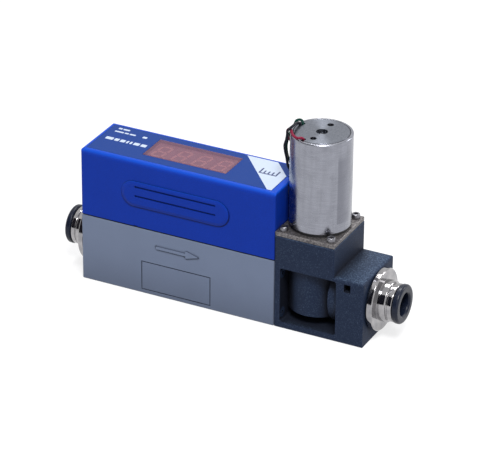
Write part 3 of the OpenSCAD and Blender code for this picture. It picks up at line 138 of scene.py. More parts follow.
floor_mesh = bpy.data.meshes.new("table")
half = FLOOR_SPAN / 2
floor_corners = [(-half, -half), (half, -half), (half, half), (-half, half)]
floor_mesh.from_pydata([(x, y, -FLOOR_DROP) for x, y in floor_corners], [], ONE_FACE)
floor = bpy.data.objects.new("table", floor_mesh)
bpy.context.collection.objects.link(floor)
floor_finish = bpy.data.materials.new("white_table")
floor_finish.use_nodes = True
floor_shader = floor_finish.node_tree.nodes["Principled BSDF"]
floor_shader.inputs["Base Color"].default_value = FLOOR_COLOUR
floor_shader.inputs["Roughness"].default_value = 0.9
floor_shader.inputs["Specular IOR Level"].default_value = 0.1
floor_shader.inputs["Emission Color"].default_value = WHITE
glow = floor_finish.node_tree.nodes.new("ShaderNodeMath")
glow.operation = "MULTIPLY"
glow.inputs[1].default_value = FLOOR_GLOW
floor_finish.node_tree.links.new(seen_directly(floor_finish.node_tree), glow.inputs[0])
floor_finish.node_tree.links.new(glow.outputs[0], floor_shader.inputs["Emission Strength"])
floor.data.materials.append(floor_finish)

for box_name, box_place, box_size, box_power, box_colour in SOFT_BOXES:
    lamp = bpy.data.lights.new(box_name, "AREA")
    lamp.shape = "RECTANGLE"
    lamp.size, lamp.size_y = box_size
    lamp.energy = box_power
    lamp.color = box_colour
    soft_box = bpy.data.objects.new(box_name, lamp)
    bpy.context.collection.objects.link(soft_box)
    soft_box.location = box_place
    aim = LIGHTS_AIM - Vector(box_place)
    soft_box.rotation_euler = aim.to_track_quat("-Z", "Y").to_euler()

card_mesh = bpy.data.meshes.new("black_card")
card_across = np.array([CARD_PLACE[1], -CARD_PLACE[0], 0.0]) / np.hypot(*CARD_PLACE[:2])
card_side = card_across * CARD_SIZE[0] / 2
card_up = np.array([0.0, 0.0, CARD_SIZE[1] / 2])
card_mesh.from_pydata([
    (np.array(CARD_PLACE) + across * card_side + up * card_up).tolist()
    for across, up in ((-1, -1), (1, -1), (1, 1), (-1, 1))
], [], ONE_FACE)
card = bpy.data.objects.new("black_card", card_mesh)
bpy.context.collection.objects.link(card)
card_finish = bpy.data.materials.new("black_felt")
card_finish.use_nodes = True
card_shader = card_finish.node_tree.nodes["Principled BSDF"]
card_shader.inputs["Base Color"].default_value = CARD_BLACK
card_shader.inputs["Roughness"].default_value = 1.0
card_shader.inputs["Specular IOR Level"].default_value = 0.0
card.data.materials.append(card_finish)
card.visible_camera = card.visible_diffuse = card.visible_shadow = False

# ---- Flow body ----------------------------------------------------------------------------
# A block of aluminium, milled and bead-blasted, then anodised in a cool grey. A slim arrow stands
# a little proud of its front, its upper edges to the light and its lower edges in shade. Below it
# a fine groove is milled as a frame for a label.

FRONT_Y = -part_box("flow_body")[1][1] / MM
ARROW_SLIM = 0.5
TOUCH = 0.01
ANODISED_GREY = (0.185, 0.230, 0.340)
# Near black of the painted shade in inner corners, and the rays that find those corners.
CORNER_SHADE_BLACK = (0.005, 0.006, 0.012)
CORNER_SHADE_RAYS = 8
SEAM_SHADE = (0.002, 0.003, 0.010)
MIX_COLOURS, MIX_RESULT = (6, 7), 2  # the sockets of a Mix node that hold colours


def start_finish(name, colour, roughness, metallic=0.0, **sockets):
    """A new material with its shader's sockets set; returns it with its node tree and shader."""
    made = bpy.data.materials.new(name)
    made.use_nodes = True
    shader = made.node_tree.nodes["Principled BSDF"]
    shader.inputs["Base Color"].default_value = (*colour, 1.0)
    shader.inputs["Roughness"].default_value = roughness
    shader.inputs["Metallic"].default_value = metallic
    for socket, value in sockets.items():
        shader.inputs[socket.replace("_", " ")].default_value = value
    made.diffuse_color = (*colour, 1.0)
    return made, made.node_tree, shader


def placed(tree, stretch=(1.0, 1.0, 1.0), centre=(0.0, 0.0, 0.0)):
    """The piece's own coordinates in metres, moved to a centre in millimetres and stretched."""
    place = tree.nodes.new("ShaderNodeTexCoord")
    fit = tree.nodes.new("ShaderNodeMapping")
    fit.inputs["Location"].default_value = [-c * MM * s for c, s in zip(centre, stretch)]
    fit.inputs["Scale"].default_value = stretch
    tree.links.new(place.outputs["Object"], fit.inputs["Vector"])
    return fit.outputs["Vector"]


def noise(tree, size, detail=2.0, stretch=(1.0, 1.0, 1.0), roughness=0.5):
    """Soft noise whose blotches are about `size` millimetres across."""
    cloud = tree.nodes.new("ShaderNodeTexNoise")
    cloud.inputs["Scale"].default_value = 1.0 / (size * MM)
    cloud.inputs["Detail"].default_value = detail
    cloud.inputs["Roughness"].default_value = roughness
    tree.links.new(placed(tree, stretch), cloud.inputs["Vector"])
    return cloud.outputs["Fac"]


def spread(tree, source, low, high, start=0.3, end=0.7):
    """Maps a factor from start..end onto low..high, held at both ends."""
    ends = tree.nodes.new("ShaderNodeMapRange")
    for socket, value in (("From Min", start), ("From Max", end), ("To Min", low), ("To Max", high)):
        ends.inputs[socket].default_value = value
    tree.links.new(source, ends.inputs["Value"])
    return ends.outputs["Result"]


def product(tree, *factors):
    """All the factors multiplied together."""
    total = factors[0]
    for factor in factors[1:]:
        times = tree.nodes.new("ShaderNodeMath")
        times.operation = "MULTIPLY"
        tree.links.new(total, times.inputs[0])
        tree.links.new(factor, times.inputs[1])
        total = times.outputs[0]
    return total


def coordinate(tree, axis):
    """The piece's own coordinate along one axis, in metres."""
    split = tree.nodes.new("ShaderNodeSeparateXYZ")
    tree.links.new(placed(tree), split.inputs[0])
    return split.outputs[axis]


def band(tree, axis, start, end, soft=0.3):
    """1 from one place along an axis to another, in millimetres, and 0 outside, with soft ends."""
    place = coordinate(tree, axis)
    after = spread(tree, place, 0.0, 1.0, (start - soft) * MM, start * MM)
    before = spread(tree, place, 1.0, 0.0, end * MM, (end + soft) * MM)
    return product(tree, after, before)


def blend_colours(tree, factor, low, high):
    """Mixes two colours, or the colour of another node, by a factor."""
    mix = tree.nodes.new("ShaderNodeMix")
    mix.data_type = "RGBA"
    tree.links.new(factor, mix.inputs["Factor"])
    for number, colour in zip(MIX_COLOURS, (low, high)):
        if isinstance(colour, bpy.types.NodeSocket):
            tree.links.new(colour, mix.inputs[number])
        else:
            mix.inputs[number].default_value = (*colour, 1.0)
    return mix.outputs[MIX_RESULT]


def add_bump(tree, shader, height, depth, below=None):
    """Raises the surface by `depth` millimetres where the height is 1; bumps can be chained."""
    bump = tree.nodes.new("ShaderNodeBump")
    bump.inputs["Distance"].default_value = depth * MM
    tree.links.new(height, bump.inputs["Height"])
    if below is not None:
        tree.links.new(below, bump.inputs["Normal"])
    tree.links.new(bump.outputs["Normal"], shader.inputs["Normal"])
    return bump.outputs["Normal"]


def grained(name, colour, roughness, metallic=0.0, grain=0.4, depth=0.01, contrast=0.12, **sockets):
    """A finish with fine grain: its colour, gloss and surface all vary a little with the grain,
    and the colour also with blotches thirty times its size."""
    made, tree, shader = start_finish(name, colour, roughness, metallic, **sockets)
    fine = noise(tree, grain, 3.0)
    broad = noise(tree, 30 * grain, 2.0)
    dark = [c * (1 - contrast) for c in colour]
    light = [min(1.0, c * (1 + contrast)) for c in colour]
    tone = blend_colours(tree, spread(tree, fine, 0.0, 1.0), dark, light)
    soft = blend_colours(tree, spread(tree, broad, 0.0, 0.35), tone, dark)
    tree.links.new(soft, shader.inputs["Base Color"])
    gloss = spread(tree, fine, max(0.02, roughness - 0.06), min(1.0, roughness + 0.06))
    tree.links.new(gloss, shader.inputs["Roughness"])
    add_bump(tree, shader, fine, depth)
    return made


def paint_corner_shade(finish, reach, amount, closed=0.5, clear=0.95, alone=False, where=None):
    """Painted shade: the colour darkens within `reach` millimetres of inner corners, where little light
    reaches, by `amount` where they are as closed as `closed` and not at all where they are `clear`.
    With alone, only the piece's own walls count; where is a factor that limits it to a region."""
    tree = finish.node_tree
    shader = tree.nodes["Principled BSDF"]
    corners = tree.nodes.new("ShaderNodeAmbientOcclusion")
    corners.samples = CORNER_SHADE_RAYS
    corners.only_local = alone
    corners.inputs["Distance"].default_value = reach * MM
    unshaded = shader.inputs["Base Color"].links[0].from_socket
    corner_shade = spread(tree, corners.outputs["AO"], amount, 0.0, closed, clear)
    if where is not None:
        corner_shade = product(tree, corner_shade, where)
    tree.links.new(blend_colours(tree, corner_shade, unshaded, CORNER_SHADE_BLACK), shader.inputs["Base Color"])


def darken_level(finish, start, end):
    """The seam lies in shadow: the colour turns black from one height to the other, in millimetres."""
    tree = finish.node_tree
    shader = tree.nodes["Principled BSDF"]
    shade = spread(tree, coordinate(tree, "Z"), 0.0, 0.95, start * MM, end * MM)
    unshaded = shader.inputs["Base Color"].links[0].from_socket
    tree.links.new(blend_colours(tree, shade, unshaded, SEAM_SHADE), shader.inputs["Base Color"])


def dress(finish, *names):
    """Gives the named solids a finish."""
    for name in names:
        solid = nodes[name]
        if solid.material_slots:
            for held in solid.material_slots:
                held.material = finish
        else:
            solid.data.materials.append(finish)


def box_mm(name):
    """A node's lowest and highest corners at rest, in millimetres."""
    return [np.round(np.array(end) / MM, 3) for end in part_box(name)]


def slim_relief(solid, name, slim):
    """A copy of a solid whose relief on the front face is drawn in towards its middle height:
    z' = middle + slim (z - middle), for its raised points and those of its foot on the face.
    Returns it with the lowest and highest corners of the relief as it was."""
    mesh = solid.data.copy()
    points = np.empty(3 * len(mesh.vertices))
    mesh.vertices.foreach_get("co", points)
    points = points.reshape(-1, 3) / MM
    raised = points[points[:, 1] < FRONT_Y - TOUCH]
    low, high = raised.min(axis=0) - TOUCH, raised.max(axis=0) + TOUCH
    high[1] = FRONT_Y + TOUCH
    relief = np.all((points > low) & (points < high), axis=1)
    middle = (low[2] + high[2]) / 2
    points[relief, 2] = middle + slim * (points[relief, 2] - middle)
    mesh.vertices.foreach_set("co", points.ravel() * MM)
    mesh.update()
    piece = bpy.data.objects.new(name, mesh)
    bpy.context.collection.objects.link(piece)
    return piece, low, high


anodised = grained(
    "anodised_grey", ANODISED_GREY, roughness=0.5, metallic=0.2, grain=0.25, depth=0.006, contrast=0.10,
    Specular_IOR_Level=0.25,
)
dress(anodised, "flow_body")
body_block, arrow_low, arrow_high = slim_relief(nodes["flow_body"], "body_block", ARROW_SLIM)
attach(body_block, "controller")
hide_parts("flow_body")

SEAM_Z = box_mm("flow_body")[1][2]
BODY_SEAM = (SEAM_Z - 0.18, SEAM_Z - 0.10)
ARROW_Z = (arrow_low[2] + arrow_high[2]) / 2
ARROW_LIT_X = (arrow_low[0] + 0.3, arrow_high[0] + 1.0)
ARROW_LIT_Z = (ARROW_Z + 0.2, ARROW_Z + 2.5)
ARROW_NEAR_X = (arrow_low[0] - 1.5, arrow_high[0] + 1.5)
ARROW_NEAR_Z = (ARROW_Z - 2.0, ARROW_Z + 1.5)
tree = anodised.node_tree
# Painted shade: the inner corners darken all over the front, less on the arrow's upper edges, which face
# the light, and most below the arrow and at its tail.
upper_edges = product(tree, band(tree, "X", *ARROW_LIT_X), band(tree, "Z", *ARROW_LIT_Z))
elsewhere = spread(tree, upper_edges, 1.0, 0.3, start=0.0, end=1.0)
paint_corner_shade(anodised, reach=0.5, amount=0.65, where=elsewhere)
round_arrow = product(tree, band(tree, "X", *ARROW_NEAR_X), band(tree, "Z", *ARROW_NEAR_Z))
shade_below_arrow = product(tree, round_arrow, elsewhere)
paint_corner_shade(anodised, reach=1.0, amount=1.0, closed=0.78, clear=0.98, where=shade_below_arrow)
# Painted shade: the body darkens towards its bottom, where the table is near, and near its neighbours.
paint_corner_shade(anodised, reach=20.0, amount=0.35, closed=0.45, clear=0.95, where=elsewhere)
darken_level(anodised, *BODY_SEAM)

# ---- Valve block --------------------------------------------------------------------------
# A block grown from dark nylon powder, which leaves its faces grainy like fine sandpaper, with
# painted light, pale and patchy, on those that face up. The side pockets leave the valve boss and
# the outlet boss standing, with a slot beside them.

BLOCK_BLUE_BLACK = (0.009, 0.018, 0.046)
BLOCK_SPECK = (0.070, 0.105, 0.170)
TOP_LIGHT_BLUE = (0.090, 0.140, 0.225)

block_finish, tree, shader = start_finish(
    "sintered_nylon", BLOCK_BLUE_BLACK, roughness=0.6, Specular_IOR_Level=0.2,
)
grains = noise(tree, size=0.36, detail=4.0, roughness=0.7)
patches = noise(tree, size=6.0, detail=2.0)
specks = spread(tree, grains, 0.0, 1.0, start=0.53, end=0.70)
facing = tree.nodes.new("ShaderNodeSeparateXYZ")
tree.links.new(tree.nodes.new("ShaderNodeTexCoord").outputs["Normal"], facing.inputs[0])
# Painted light: faces that face up turn paler, broken by patchy noise.
top_light = product(
    tree,
    spread(tree, facing.outputs["Z"], 0.0, 1.0, start=0.5, end=0.9),
    spread(tree, noise(tree, size=0.6, detail=2.0), 0.1, 0.85, start=0.45, end=0.62),
)
grain_and_top_light = blend_colours(tree, specks, BLOCK_BLUE_BLACK, BLOCK_SPECK)
grain_and_top_light = blend_colours(tree, top_light, grain_and_top_light, TOP_LIGHT_BLUE)
grain_and_top_light = blend_colours(tree, spread(tree, patches, 0.0, 0.4), grain_and_top_light, BLOCK_BLUE_BLACK)
tree.links.new(grain_and_top_light, shader.inputs["Base Color"])
tree.links.new(spread(tree, grains, 0.5, 0.75), shader.inputs["Roughness"])
add_bump(tree, shader, grains, depth=0.05)
# Painted shade in the pockets and inner corners, where little light gets in.
paint_corner_shade(block_finish, reach=14.0, amount=0.92, closed=0.50, clear=0.86, alone=True)
dress(block_finish, "valve_block", "block_screws")

# ---- Gas way ------------------------------------------------------------------------------
# Machined stainless steel and rubber inside the body: screen, flow element, seat, core and seals.
# None of it shows from outside, but each piece has the finish that the real one has.

stainless = grained(
    "machined_stainless", (0.56, 0.56, 0.58), roughness=0.3, metallic=1.0, grain=0.3, depth=0.004,
)
dress(stainless, "inlet_screen", "flow_element", "valve_seat", "core_tube", "plunger", "return_spring",
      "fixed_core", "inlet_grab_ring", "outlet_grab_ring")
seal_rubber = grained("seal_rubber", (0.012, 0.012, 0.013), roughness=0.6, grain=0.2, contrast=0.3)
dress(seal_rubber, "sensor_gasket", "block_seal", "chamber_seal", "seat_disc", "inlet_flange_seal",
      "outlet_flange_seal", "inlet_tube_seal", "outlet_tube_seal")
adjuster_steel = grained("adjuster_steel", (0.40, 0.41, 0.43), roughness=0.35, metallic=1.0, grain=0.2)
dress(adjuster_steel, "adjuster_screw")
dress(grained("sensor_silicon", (0.05, 0.05, 0.06), roughness=0.25, metallic=0.3, grain=0.2), "sensor_chip")

# ---- Clamp plate and its screws -----------------------------------------------------------
# A plate of rolled steel, a little tarnished, held to the block by four small socket-head screws.
# Each head is knurled round its side, has a bevelled top edge and a six-sided socket.

PLATE_DARK = (0.075, 0.070, 0.075)
PLATE_LIGHT = (0.25, 0.235, 0.235)
PLATE_LOW, PLATE_HIGH = box_mm("clamp_plate")
VALVE_AXIS = ((PLATE_LOW[0] + PLATE_HIGH[0]) / 2, 0.0)
SCREW_REACH = (9.05, 10.1)
HEAD_FOOT = PLATE_HIGH[2]
SHANK_END, HEAD_TOP = (corner[2] for corner in box_mm("plate_screws"))
HEAD_R = 1.5
HEAD_EDGE = 0.28
HEAD_FILLET = 0.1
SOCKET_R = 0.87
SOCKET_D = 0.9
SOCKET_EDGE = 0.08
SOCKET_CONE = 0.15
SHANK_R = 1.0
SHANK_TIP = 0.3
KNURLS = 24
KNURL_D = 0.06
KNURL_POINTS = 6

plate_finish, tree, shader = start_finish("rolled_steel", PLATE_LIGHT, roughness=0.5, metallic=0.75)
mottle = noise(tree, size=0.7, detail=4.0, roughness=0.7)
tarnish = blend_colours(tree, spread(tree, mottle, 0.0, 1.0, start=0.38, end=0.62), PLATE_DARK, PLATE_LIGHT)
tree.links.new(tarnish, shader.inputs["Base Color"])
tree.links.new(spread(tree, mottle, 0.62, 0.4), shader.inputs["Roughness"])
add_bump(tree, shader, mottle, depth=0.03)
dress(plate_finish, "clamp_plate")


def skin(name, rings, loop=False, sharp=35.0):
    """Mesh over a grid: rings[i, j] is point j of ring i, in millimetres, and each ring is closed.
    With loop, the last ring joins the first; otherwise the two end rings are filled. The sum of
    a . (b x c) over its triangles is six times its volume, and where it is negative, the faces turn."""
    count, points = rings.shape[:2]
    i, j = np.meshgrid(np.arange(count if loop else count - 1), np.arange(points), indexing="ij")
    after, beside = (i + 1) % count, (j + 1) % points
    quads = np.stack([i * points + j, i * points + beside, after * points + beside, after * points + j], -1)
    faces = quads.reshape(-1, 4).tolist()
    if not loop:
        faces += [list(range(points))[::-1], list(range((count - 1) * points, count * points))]
    flat = rings.reshape(-1, 3) * MM
    a, b, c, d = (flat[quads[..., k].ravel()] for k in range(4))
    volume = np.einsum("ij,ij->i", a, np.cross(b, c)).sum()
    volume += np.einsum("ij,ij->i", a, np.cross(c, d)).sum()
    if not loop:
        for ring, sign in ((rings[0] * MM, -1), (rings[-1] * MM, 1)):
            middle = ring.mean(axis=0)
            volume += sign * np.einsum("j,ij->i", middle, np.cross(ring, np.roll(ring, -1, 0))).sum()
    mesh = bpy.data.meshes.new(name)
    mesh.from_pydata(flat.tolist(), [], faces)
    if volume < 0:
        mesh.flip_normals()
    mesh.shade_smooth()
    mesh.set_sharp_from_angle(angle=np.radians(sharp))
    piece = bpy.data.objects.new(name, mesh)
    bpy.context.collection.objects.link(piece)
    return piece


def around(radii, angles, heights, centre):
    """Rings of points round an upright axis: x = r cos t, y = r sin t and z = height, where each
    ring has one radius or one for each angle."""
    radii = np.broadcast_to(radii, (len(heights), len(angles)))
    rings = np.stack([
        radii * np.cos(angles), radii * np.sin(angles),
        np.broadcast_to(np.asarray(heights, float)[:, None], radii.shape),
    ], -1)
    return rings + np.array([centre[0], centre[1], 0.0])


def hexagon(angles, corner_radius):
    """Distance to the edge of a hexagon in each direction t: R cos 30 / cos(t mod 60 - 30), in degrees."""
    return corner_radius * np.cos(np.pi / 6) / np.cos((angles % (np.pi / 3)) - np.pi / 6)


screw_steel = grained(
    "screw_steel", (0.21, 0.21, 0.23), roughness=0.34, metallic=1.0, grain=0.25, depth=0.004,
)
turns = np.linspace(0, 2 * np.pi, KNURLS * KNURL_POINTS, endpoint=False)
knurl = HEAD_R - KNURL_D * (0.5 - 0.5 * np.cos(KNURLS * turns))
full = np.ones_like(turns)
screw_radii = np.stack([
    full * (SHANK_R - SHANK_TIP), full * SHANK_R, full * SHANK_R, full * (HEAD_R - HEAD_FILLET),
    knurl, knurl, full * (HEAD_R - HEAD_EDGE / 2), full * (HEAD_R - HEAD_EDGE),
    hexagon(turns, SOCKET_R + SOCKET_EDGE), hexagon(turns, SOCKET_R), hexagon(turns, SOCKET_R),
    hexagon(turns, SOCKET_R * 0.3),
])
screw_heights = np.array([
    SHANK_END, SHANK_END + SHANK_TIP, HEAD_FOOT, HEAD_FOOT,
    HEAD_FOOT + HEAD_FILLET, HEAD_TOP - HEAD_EDGE, HEAD_TOP - HEAD_EDGE / 3, HEAD_TOP,
    HEAD_TOP, HEAD_TOP - SOCKET_EDGE, HEAD_TOP - SOCKET_D,
    HEAD_TOP - SOCKET_D - SOCKET_CONE,
])
screw_places = [(VALVE_AXIS[0] + x * SCREW_REACH[0], y * SCREW_REACH[1]) for x in (-1, 1) for y in (-1, 1)]
for number, screw_place in enumerate(screw_places):
    screw = skin(f"plate_screw_{number + 1}", around(screw_radii, turns, screw_heights, screw_place))
    screw.data.materials.append(screw_steel)
    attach(screw, "controller")
    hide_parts("plate_screws")

# ---- Solenoid can -------------------------------------------------------------------------
# A steel can, turned on a lathe and then handled: fine rings run round it, with upright stains
# and a darker upright patch on the outlet side. It stands on a dark spacer ring, and its rim is
# broken by a small chamfer.

CAN_FOOT, CAN_TOP = (corner[2] for corner in box_mm("coil_can"))
CAN_R = box_mm("coil_can")[1][0] - VALVE_AXIS[0]
CAN_WALL = 1.0
CAN_INNER_R = CAN_R - CAN_WALL
CAN_FLOOR_T = 2.0
CAN_HOLE_R = 4.85
CAN_EDGE = 0.3
CAN_EASE = 0.12
CAN_TURNS = 192
STEEL_LIGHT = (0.32, 0.33, 0.375)
STEEL_DARK = (0.17, 0.175, 0.205)
STAIN = 0.88
DARK_PATCH_X = (VALVE_AXIS[0] + 9.1, VALVE_AXIS[0] + 9.3)
DARK_PATCH_Y = (-5.0, 0.5)
DARK_PATCH_FOOT = (CAN_FOOT + 3.35, CAN_FOOT + 3.85)
DARK_PATCH_HEAD = (CAN_TOP - 7.35, CAN_TOP - 4.35)


def eased(corners, ease, steps=5):
    """Closed outline whose corners give way to quadratic curves, (1-t)^2 s + 2t(1-t) p + t^2 e, from
    s to e round the corner p. They start `ease` from it, or at 0.45 of a side that is short."""
    points = np.asarray(corners, float)
    back, ahead = np.roll(points, 1, 0) - points, np.roll(points, -1, 0) - points
    far_back, far_ahead = np.linalg.norm(back, axis=1), np.linalg.norm(ahead, axis=1)
    start = points + back * (np.minimum(ease, far_back * 0.45) / far_back)[:, None]
    end = points + ahead * (np.minimum(ease, far_ahead * 0.45) / far_ahead)[:, None]
    t = np.linspace(0, 1, steps)[None, :, None]
    curve = (1 - t) ** 2 * start[:, None] + 2 * t * (1 - t) * points[:, None] + t ** 2 * end[:, None]
    return curve.reshape(-1, 2)


can_outline = eased([
    (CAN_HOLE_R, CAN_FOOT), (CAN_R - CAN_EDGE, CAN_FOOT), (CAN_R, CAN_FOOT + CAN_EDGE),
    (CAN_R, CAN_TOP - CAN_EDGE), (CAN_R - CAN_EDGE, CAN_TOP), (CAN_INNER_R, CAN_TOP),
    (CAN_INNER_R, CAN_FOOT + CAN_FLOOR_T), (CAN_HOLE_R, CAN_FOOT + CAN_FLOOR_T),
], CAN_EASE)
turns = np.linspace(0, 2 * np.pi, CAN_TURNS, endpoint=False)
can = skin("solenoid_can", around(can_outline[:, :1], turns, can_outline[:, 1], VALVE_AXIS), loop=True)

can_steel, tree, shader = start_finish("turned_steel", STEEL_LIGHT, roughness=0.34, metallic=1.0)
rings_cut = noise(tree, size=0.09, detail=2.0, stretch=(0.02, 0.02, 1.0))
stains = noise(tree, size=1.6, detail=3.0, stretch=(1.0, 1.0, 0.12))
smudges = noise(tree, size=5.0, detail=3.0)
stained = [STAIN * part for part in STEEL_LIGHT]
tone = blend_colours(tree, spread(tree, stains, 0.0, 1.0, start=0.35, end=0.65), STEEL_LIGHT, stained)
tone = blend_colours(tree, spread(tree, rings_cut, 0.0, 0.5), tone, STEEL_DARK)
tone = blend_colours(tree, spread(tree, smudges, 0.0, 0.35, start=0.5, end=0.75), tone, STEEL_DARK)
# A darker upright patch on the outlet side, at mid height.
dark_patch = product(
    tree,
    spread(tree, coordinate(tree, "X"), 0.0, 0.75, DARK_PATCH_X[0] * MM, DARK_PATCH_X[1] * MM),
    spread(tree, coordinate(tree, "Y"), 1.0, 0.0, DARK_PATCH_Y[0] * MM, DARK_PATCH_Y[1] * MM),
    spread(tree, coordinate(tree, "Z"), 0.0, 1.0, DARK_PATCH_FOOT[0] * MM, DARK_PATCH_FOOT[1] * MM),
    spread(tree, coordinate(tree, "Z"), 1.0, 0.0, DARK_PATCH_HEAD[0] * MM, DARK_PATCH_HEAD[1] * MM),
)
tree.links.new(blend_colours(tree, dark_patch, tone, STEEL_DARK), shader.inputs["Base Color"])
tree.links.new(spread(tree, smudges, 0.20, 0.32), shader.inputs["Roughness"])
add_bump(tree, shader, rings_cut, depth=0.006)
can.data.materials.append(can_steel)
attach(can, "controller")
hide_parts("coil_can")

spacer_black = grained("spacer_black", (0.012, 0.012, 0.014), roughness=0.45, grain=0.3, contrast=0.2)
dress(spacer_black, "spacer_ring", "coil_bobbin")

# ---- End disc -----------------------------------------------------------------------------
# The disc that closes the can is faced on a lathe, so fine rings run round its middle hole
# and the light fans out across it. Two spanner holes and three lead holes pass through it.

DISC_SINK = 1.0
DISC_CENTRE = (*VALVE_AXIS, CAN_TOP - DISC_SINK)
JOINT_SHADE_RADII = (CAN_INNER_R - 0.3, CAN_INNER_R - 0.2)
DISC_TONES = (0.145, 0.160, 0.195), (0.215, 0.230, 0.270)
JOINT_SHADE_BLACK = (0.02, 0.02, 0.03)
RING_PITCH = 0.22
RINGS_PER_UNIT = 3.18

disc_steel, tree, shader = start_finish(
    "faced_steel", (0.17, 0.18, 0.22), roughness=0.26, metallic=1.0,
    Anisotropic=0.8, Anisotropic_Rotation=0.25,
)
rings_faced = tree.nodes.new("ShaderNodeTexWave")
rings_faced.wave_type = "RINGS"
rings_faced.rings_direction = "Z"
rings_faced.inputs["Scale"].default_value = 1.0 / (RING_PITCH * MM) / RINGS_PER_UNIT
rings_faced.inputs["Distortion"].default_value = 0.4
tree.links.new(placed(tree, centre=DISC_CENTRE), rings_faced.inputs["Vector"])
faced_grain = noise(tree, size=0.4, detail=3.0)
tone = blend_colours(tree, spread(tree, faced_grain, 0.0, 1.0), *DISC_TONES)
from_axis = tree.nodes.new("ShaderNodeVectorMath")
from_axis.operation = "LENGTH"
tree.links.new(placed(tree, (1.0, 1.0, 0.0), DISC_CENTRE), from_axis.inputs[0])
# Painted shade: a dark ring at the disc's edge, where it meets the can's rim.
joint_shade = spread(tree, from_axis.outputs["Value"], 0.0, 0.9, JOINT_SHADE_RADII[0] * MM, JOINT_SHADE_RADII[1] * MM)
tree.links.new(blend_colours(tree, joint_shade, tone, JOINT_SHADE_BLACK), shader.inputs["Base Color"])
add_bump(tree, shader, rings_faced.outputs["Fac"], depth=0.004)
round_way = tree.nodes.new("ShaderNodeTangent")
round_way.direction_type = "RADIAL"
round_way.axis = "Z"
tree.links.new(round_way.outputs["Tangent"], shader.inputs["Tangent"])
dress(disc_steel, "end_disc")

copper = grained("enamelled_copper", (0.50, 0.20, 0.08), roughness=0.35, metallic=0.9, grain=0.3)
dress(copper, "coil_winding")

# ---- Lead wires ---------------------------------------------------------------------------
# Three stranded wires, insulated in red, black and green, come out of holes in the end disc.
# They bend over the rim, hang down behind the can and go in at the cover's end to the plug.

LEAD_R = 0.48
LEAD_SIDES = 18
LEAD_STEPS = 8
LEAD_SIDEWAYS = np.array([0.31, 0.92, 0.23])
CAN_TOP_POINT = np.array([*VALVE_AXIS, CAN_TOP])
COVER_CORNER = box_mm("cover")[1] * np.array([1.0, 0.0, 1.0])
PLUG_LOW, PLUG_HIGH = box_mm("valve_plug")
PLUG_TOP = np.array([*(PLUG_LOW + PLUG_HIGH)[:2] / 2, PLUG_HIGH[2]])
PLUG_APPROACH = (1.6, 0.1)
LEAD_ROUTES = {
    # side of the plug it goes to, colour, points from the top of the can, points from the cover's corner
    "lead_black": (-1.2, (0.007, 0.008, 0.014), [
        (-8.8, 1.5, -3), (-8.8, 1.5, -0.4), (-9.2, 1.1, 0.75), (-9.5, -0.4, 1.25), (-9.3, -2.2, 1.65),
        (-9.1, -4.2, 1.85), (-9.3, -5.8, 1.75), (-9.9, -6.7, 0.9), (-10.1, -6.5, -0.7),
        (-11, -5.3, -3.3), (-12.1, -4.2, -6), (-12.6, -2.8, -9), (-12.9, -1, -12.3), (-13.2, 0.8, -16.3),
    ], [
        (-1.45, 1.8, 2.9), (-0.85, 2.2, -0.2), (-1.25, 2.2, -3.1), (-2.85, 2, -5.9), (-5.05, 1.4, -8.1),
    ]),
    "lead_green": (0.0, (0.003, 0.036, 0.028), [
        (-8.5, 2.65, -3), (-8.5, 2.65, -0.4), (-9.2, 3.2, 0.7), (-10.4, 3.5, 0.7), (-11.4, 3.2, 0.15),
        (-11.9, 2.7, -1.4), (-12.6, 1.6, -3.4), (-13, 0.2, -5.4), (-13.1, -0.8, -7.7),
        (-13.2, -0.3, -10.3), (-13.3, 1, -13.2), (-12.9, 2.8, -16.8),
    ], [(-0.85, 3.4, -0.2), (-1.25, 3.4, -3.1), (-2.85, 3.2, -5.9), (-5.05, 2.6, -8.1)]),
    "lead_red": (1.2, (0.20, 0.012, 0.040), [
        (-2.9, -8.4, -3), (-2.9, -8.4, -0.4), (-3.3, -9.2, 0.7), (-4.6, -9.9, 0.7), (-6.5, -8.9, 0.68),
        (-8.05, -7.05, 0.68), (-9.3, -5.2, 0.68), (-10.4, -4.4, 0.55), (-11.1, -4.3, -0.3),
        (-11.3, -3.9, -1.7), (-11.7, -2.6, -3.3), (-11.95, -1, -4.8), (-11.9, 0.5, -6.8),
        (-11.9, 1.9, -10), (-12, 3.3, -13.8), (-12.1, 4.2, -17.6),
    ], [(-0.85, 4.6, -0.2), (-1.25, 4.6, -3.1), (-2.85, 4.4, -5.9), (-5.05, 3.8, -8.1)]),
}


def smooth_path(points, steps):
    """Curve through every point: on each span, the cubic set by the two points on either side."""
    padded = np.vstack([points[:1], points, points[-1:]])
    a, b, c, d = (padded[k:len(padded) - 3 + k, None] for k in range(4))
    t = np.linspace(0, 1, steps, endpoint=False)[None, :, None]
    spans = 0.5 * (2 * b + (c - a) * t + (2 * a - 5 * b + 4 * c - d) * t ** 2
                   + (3 * b - a - 3 * c + d) * t ** 3)
    return np.vstack([spans.reshape(-1, 3), points[-1:]])


def tube_rings(path, radius, sides):
    """Circles square to the path: p + r (u cos t + v sin t), where u is square to the path's
    direction and to one fixed sideways direction, and v is square to both."""
    ahead = np.gradient(path, axis=0)
    ahead /= np.linalg.norm(ahead, axis=1, keepdims=True)
    side = np.cross(ahead, LEAD_SIDEWAYS)
    side /= np.linalg.norm(side, axis=1, keepdims=True)
    other = np.cross(ahead, side)
    t = np.linspace(0, 2 * np.pi, sides, endpoint=False)[None, :, None]
    return path[:, None] + radius * (np.cos(t) * side[:, None] + np.sin(t) * other[:, None])


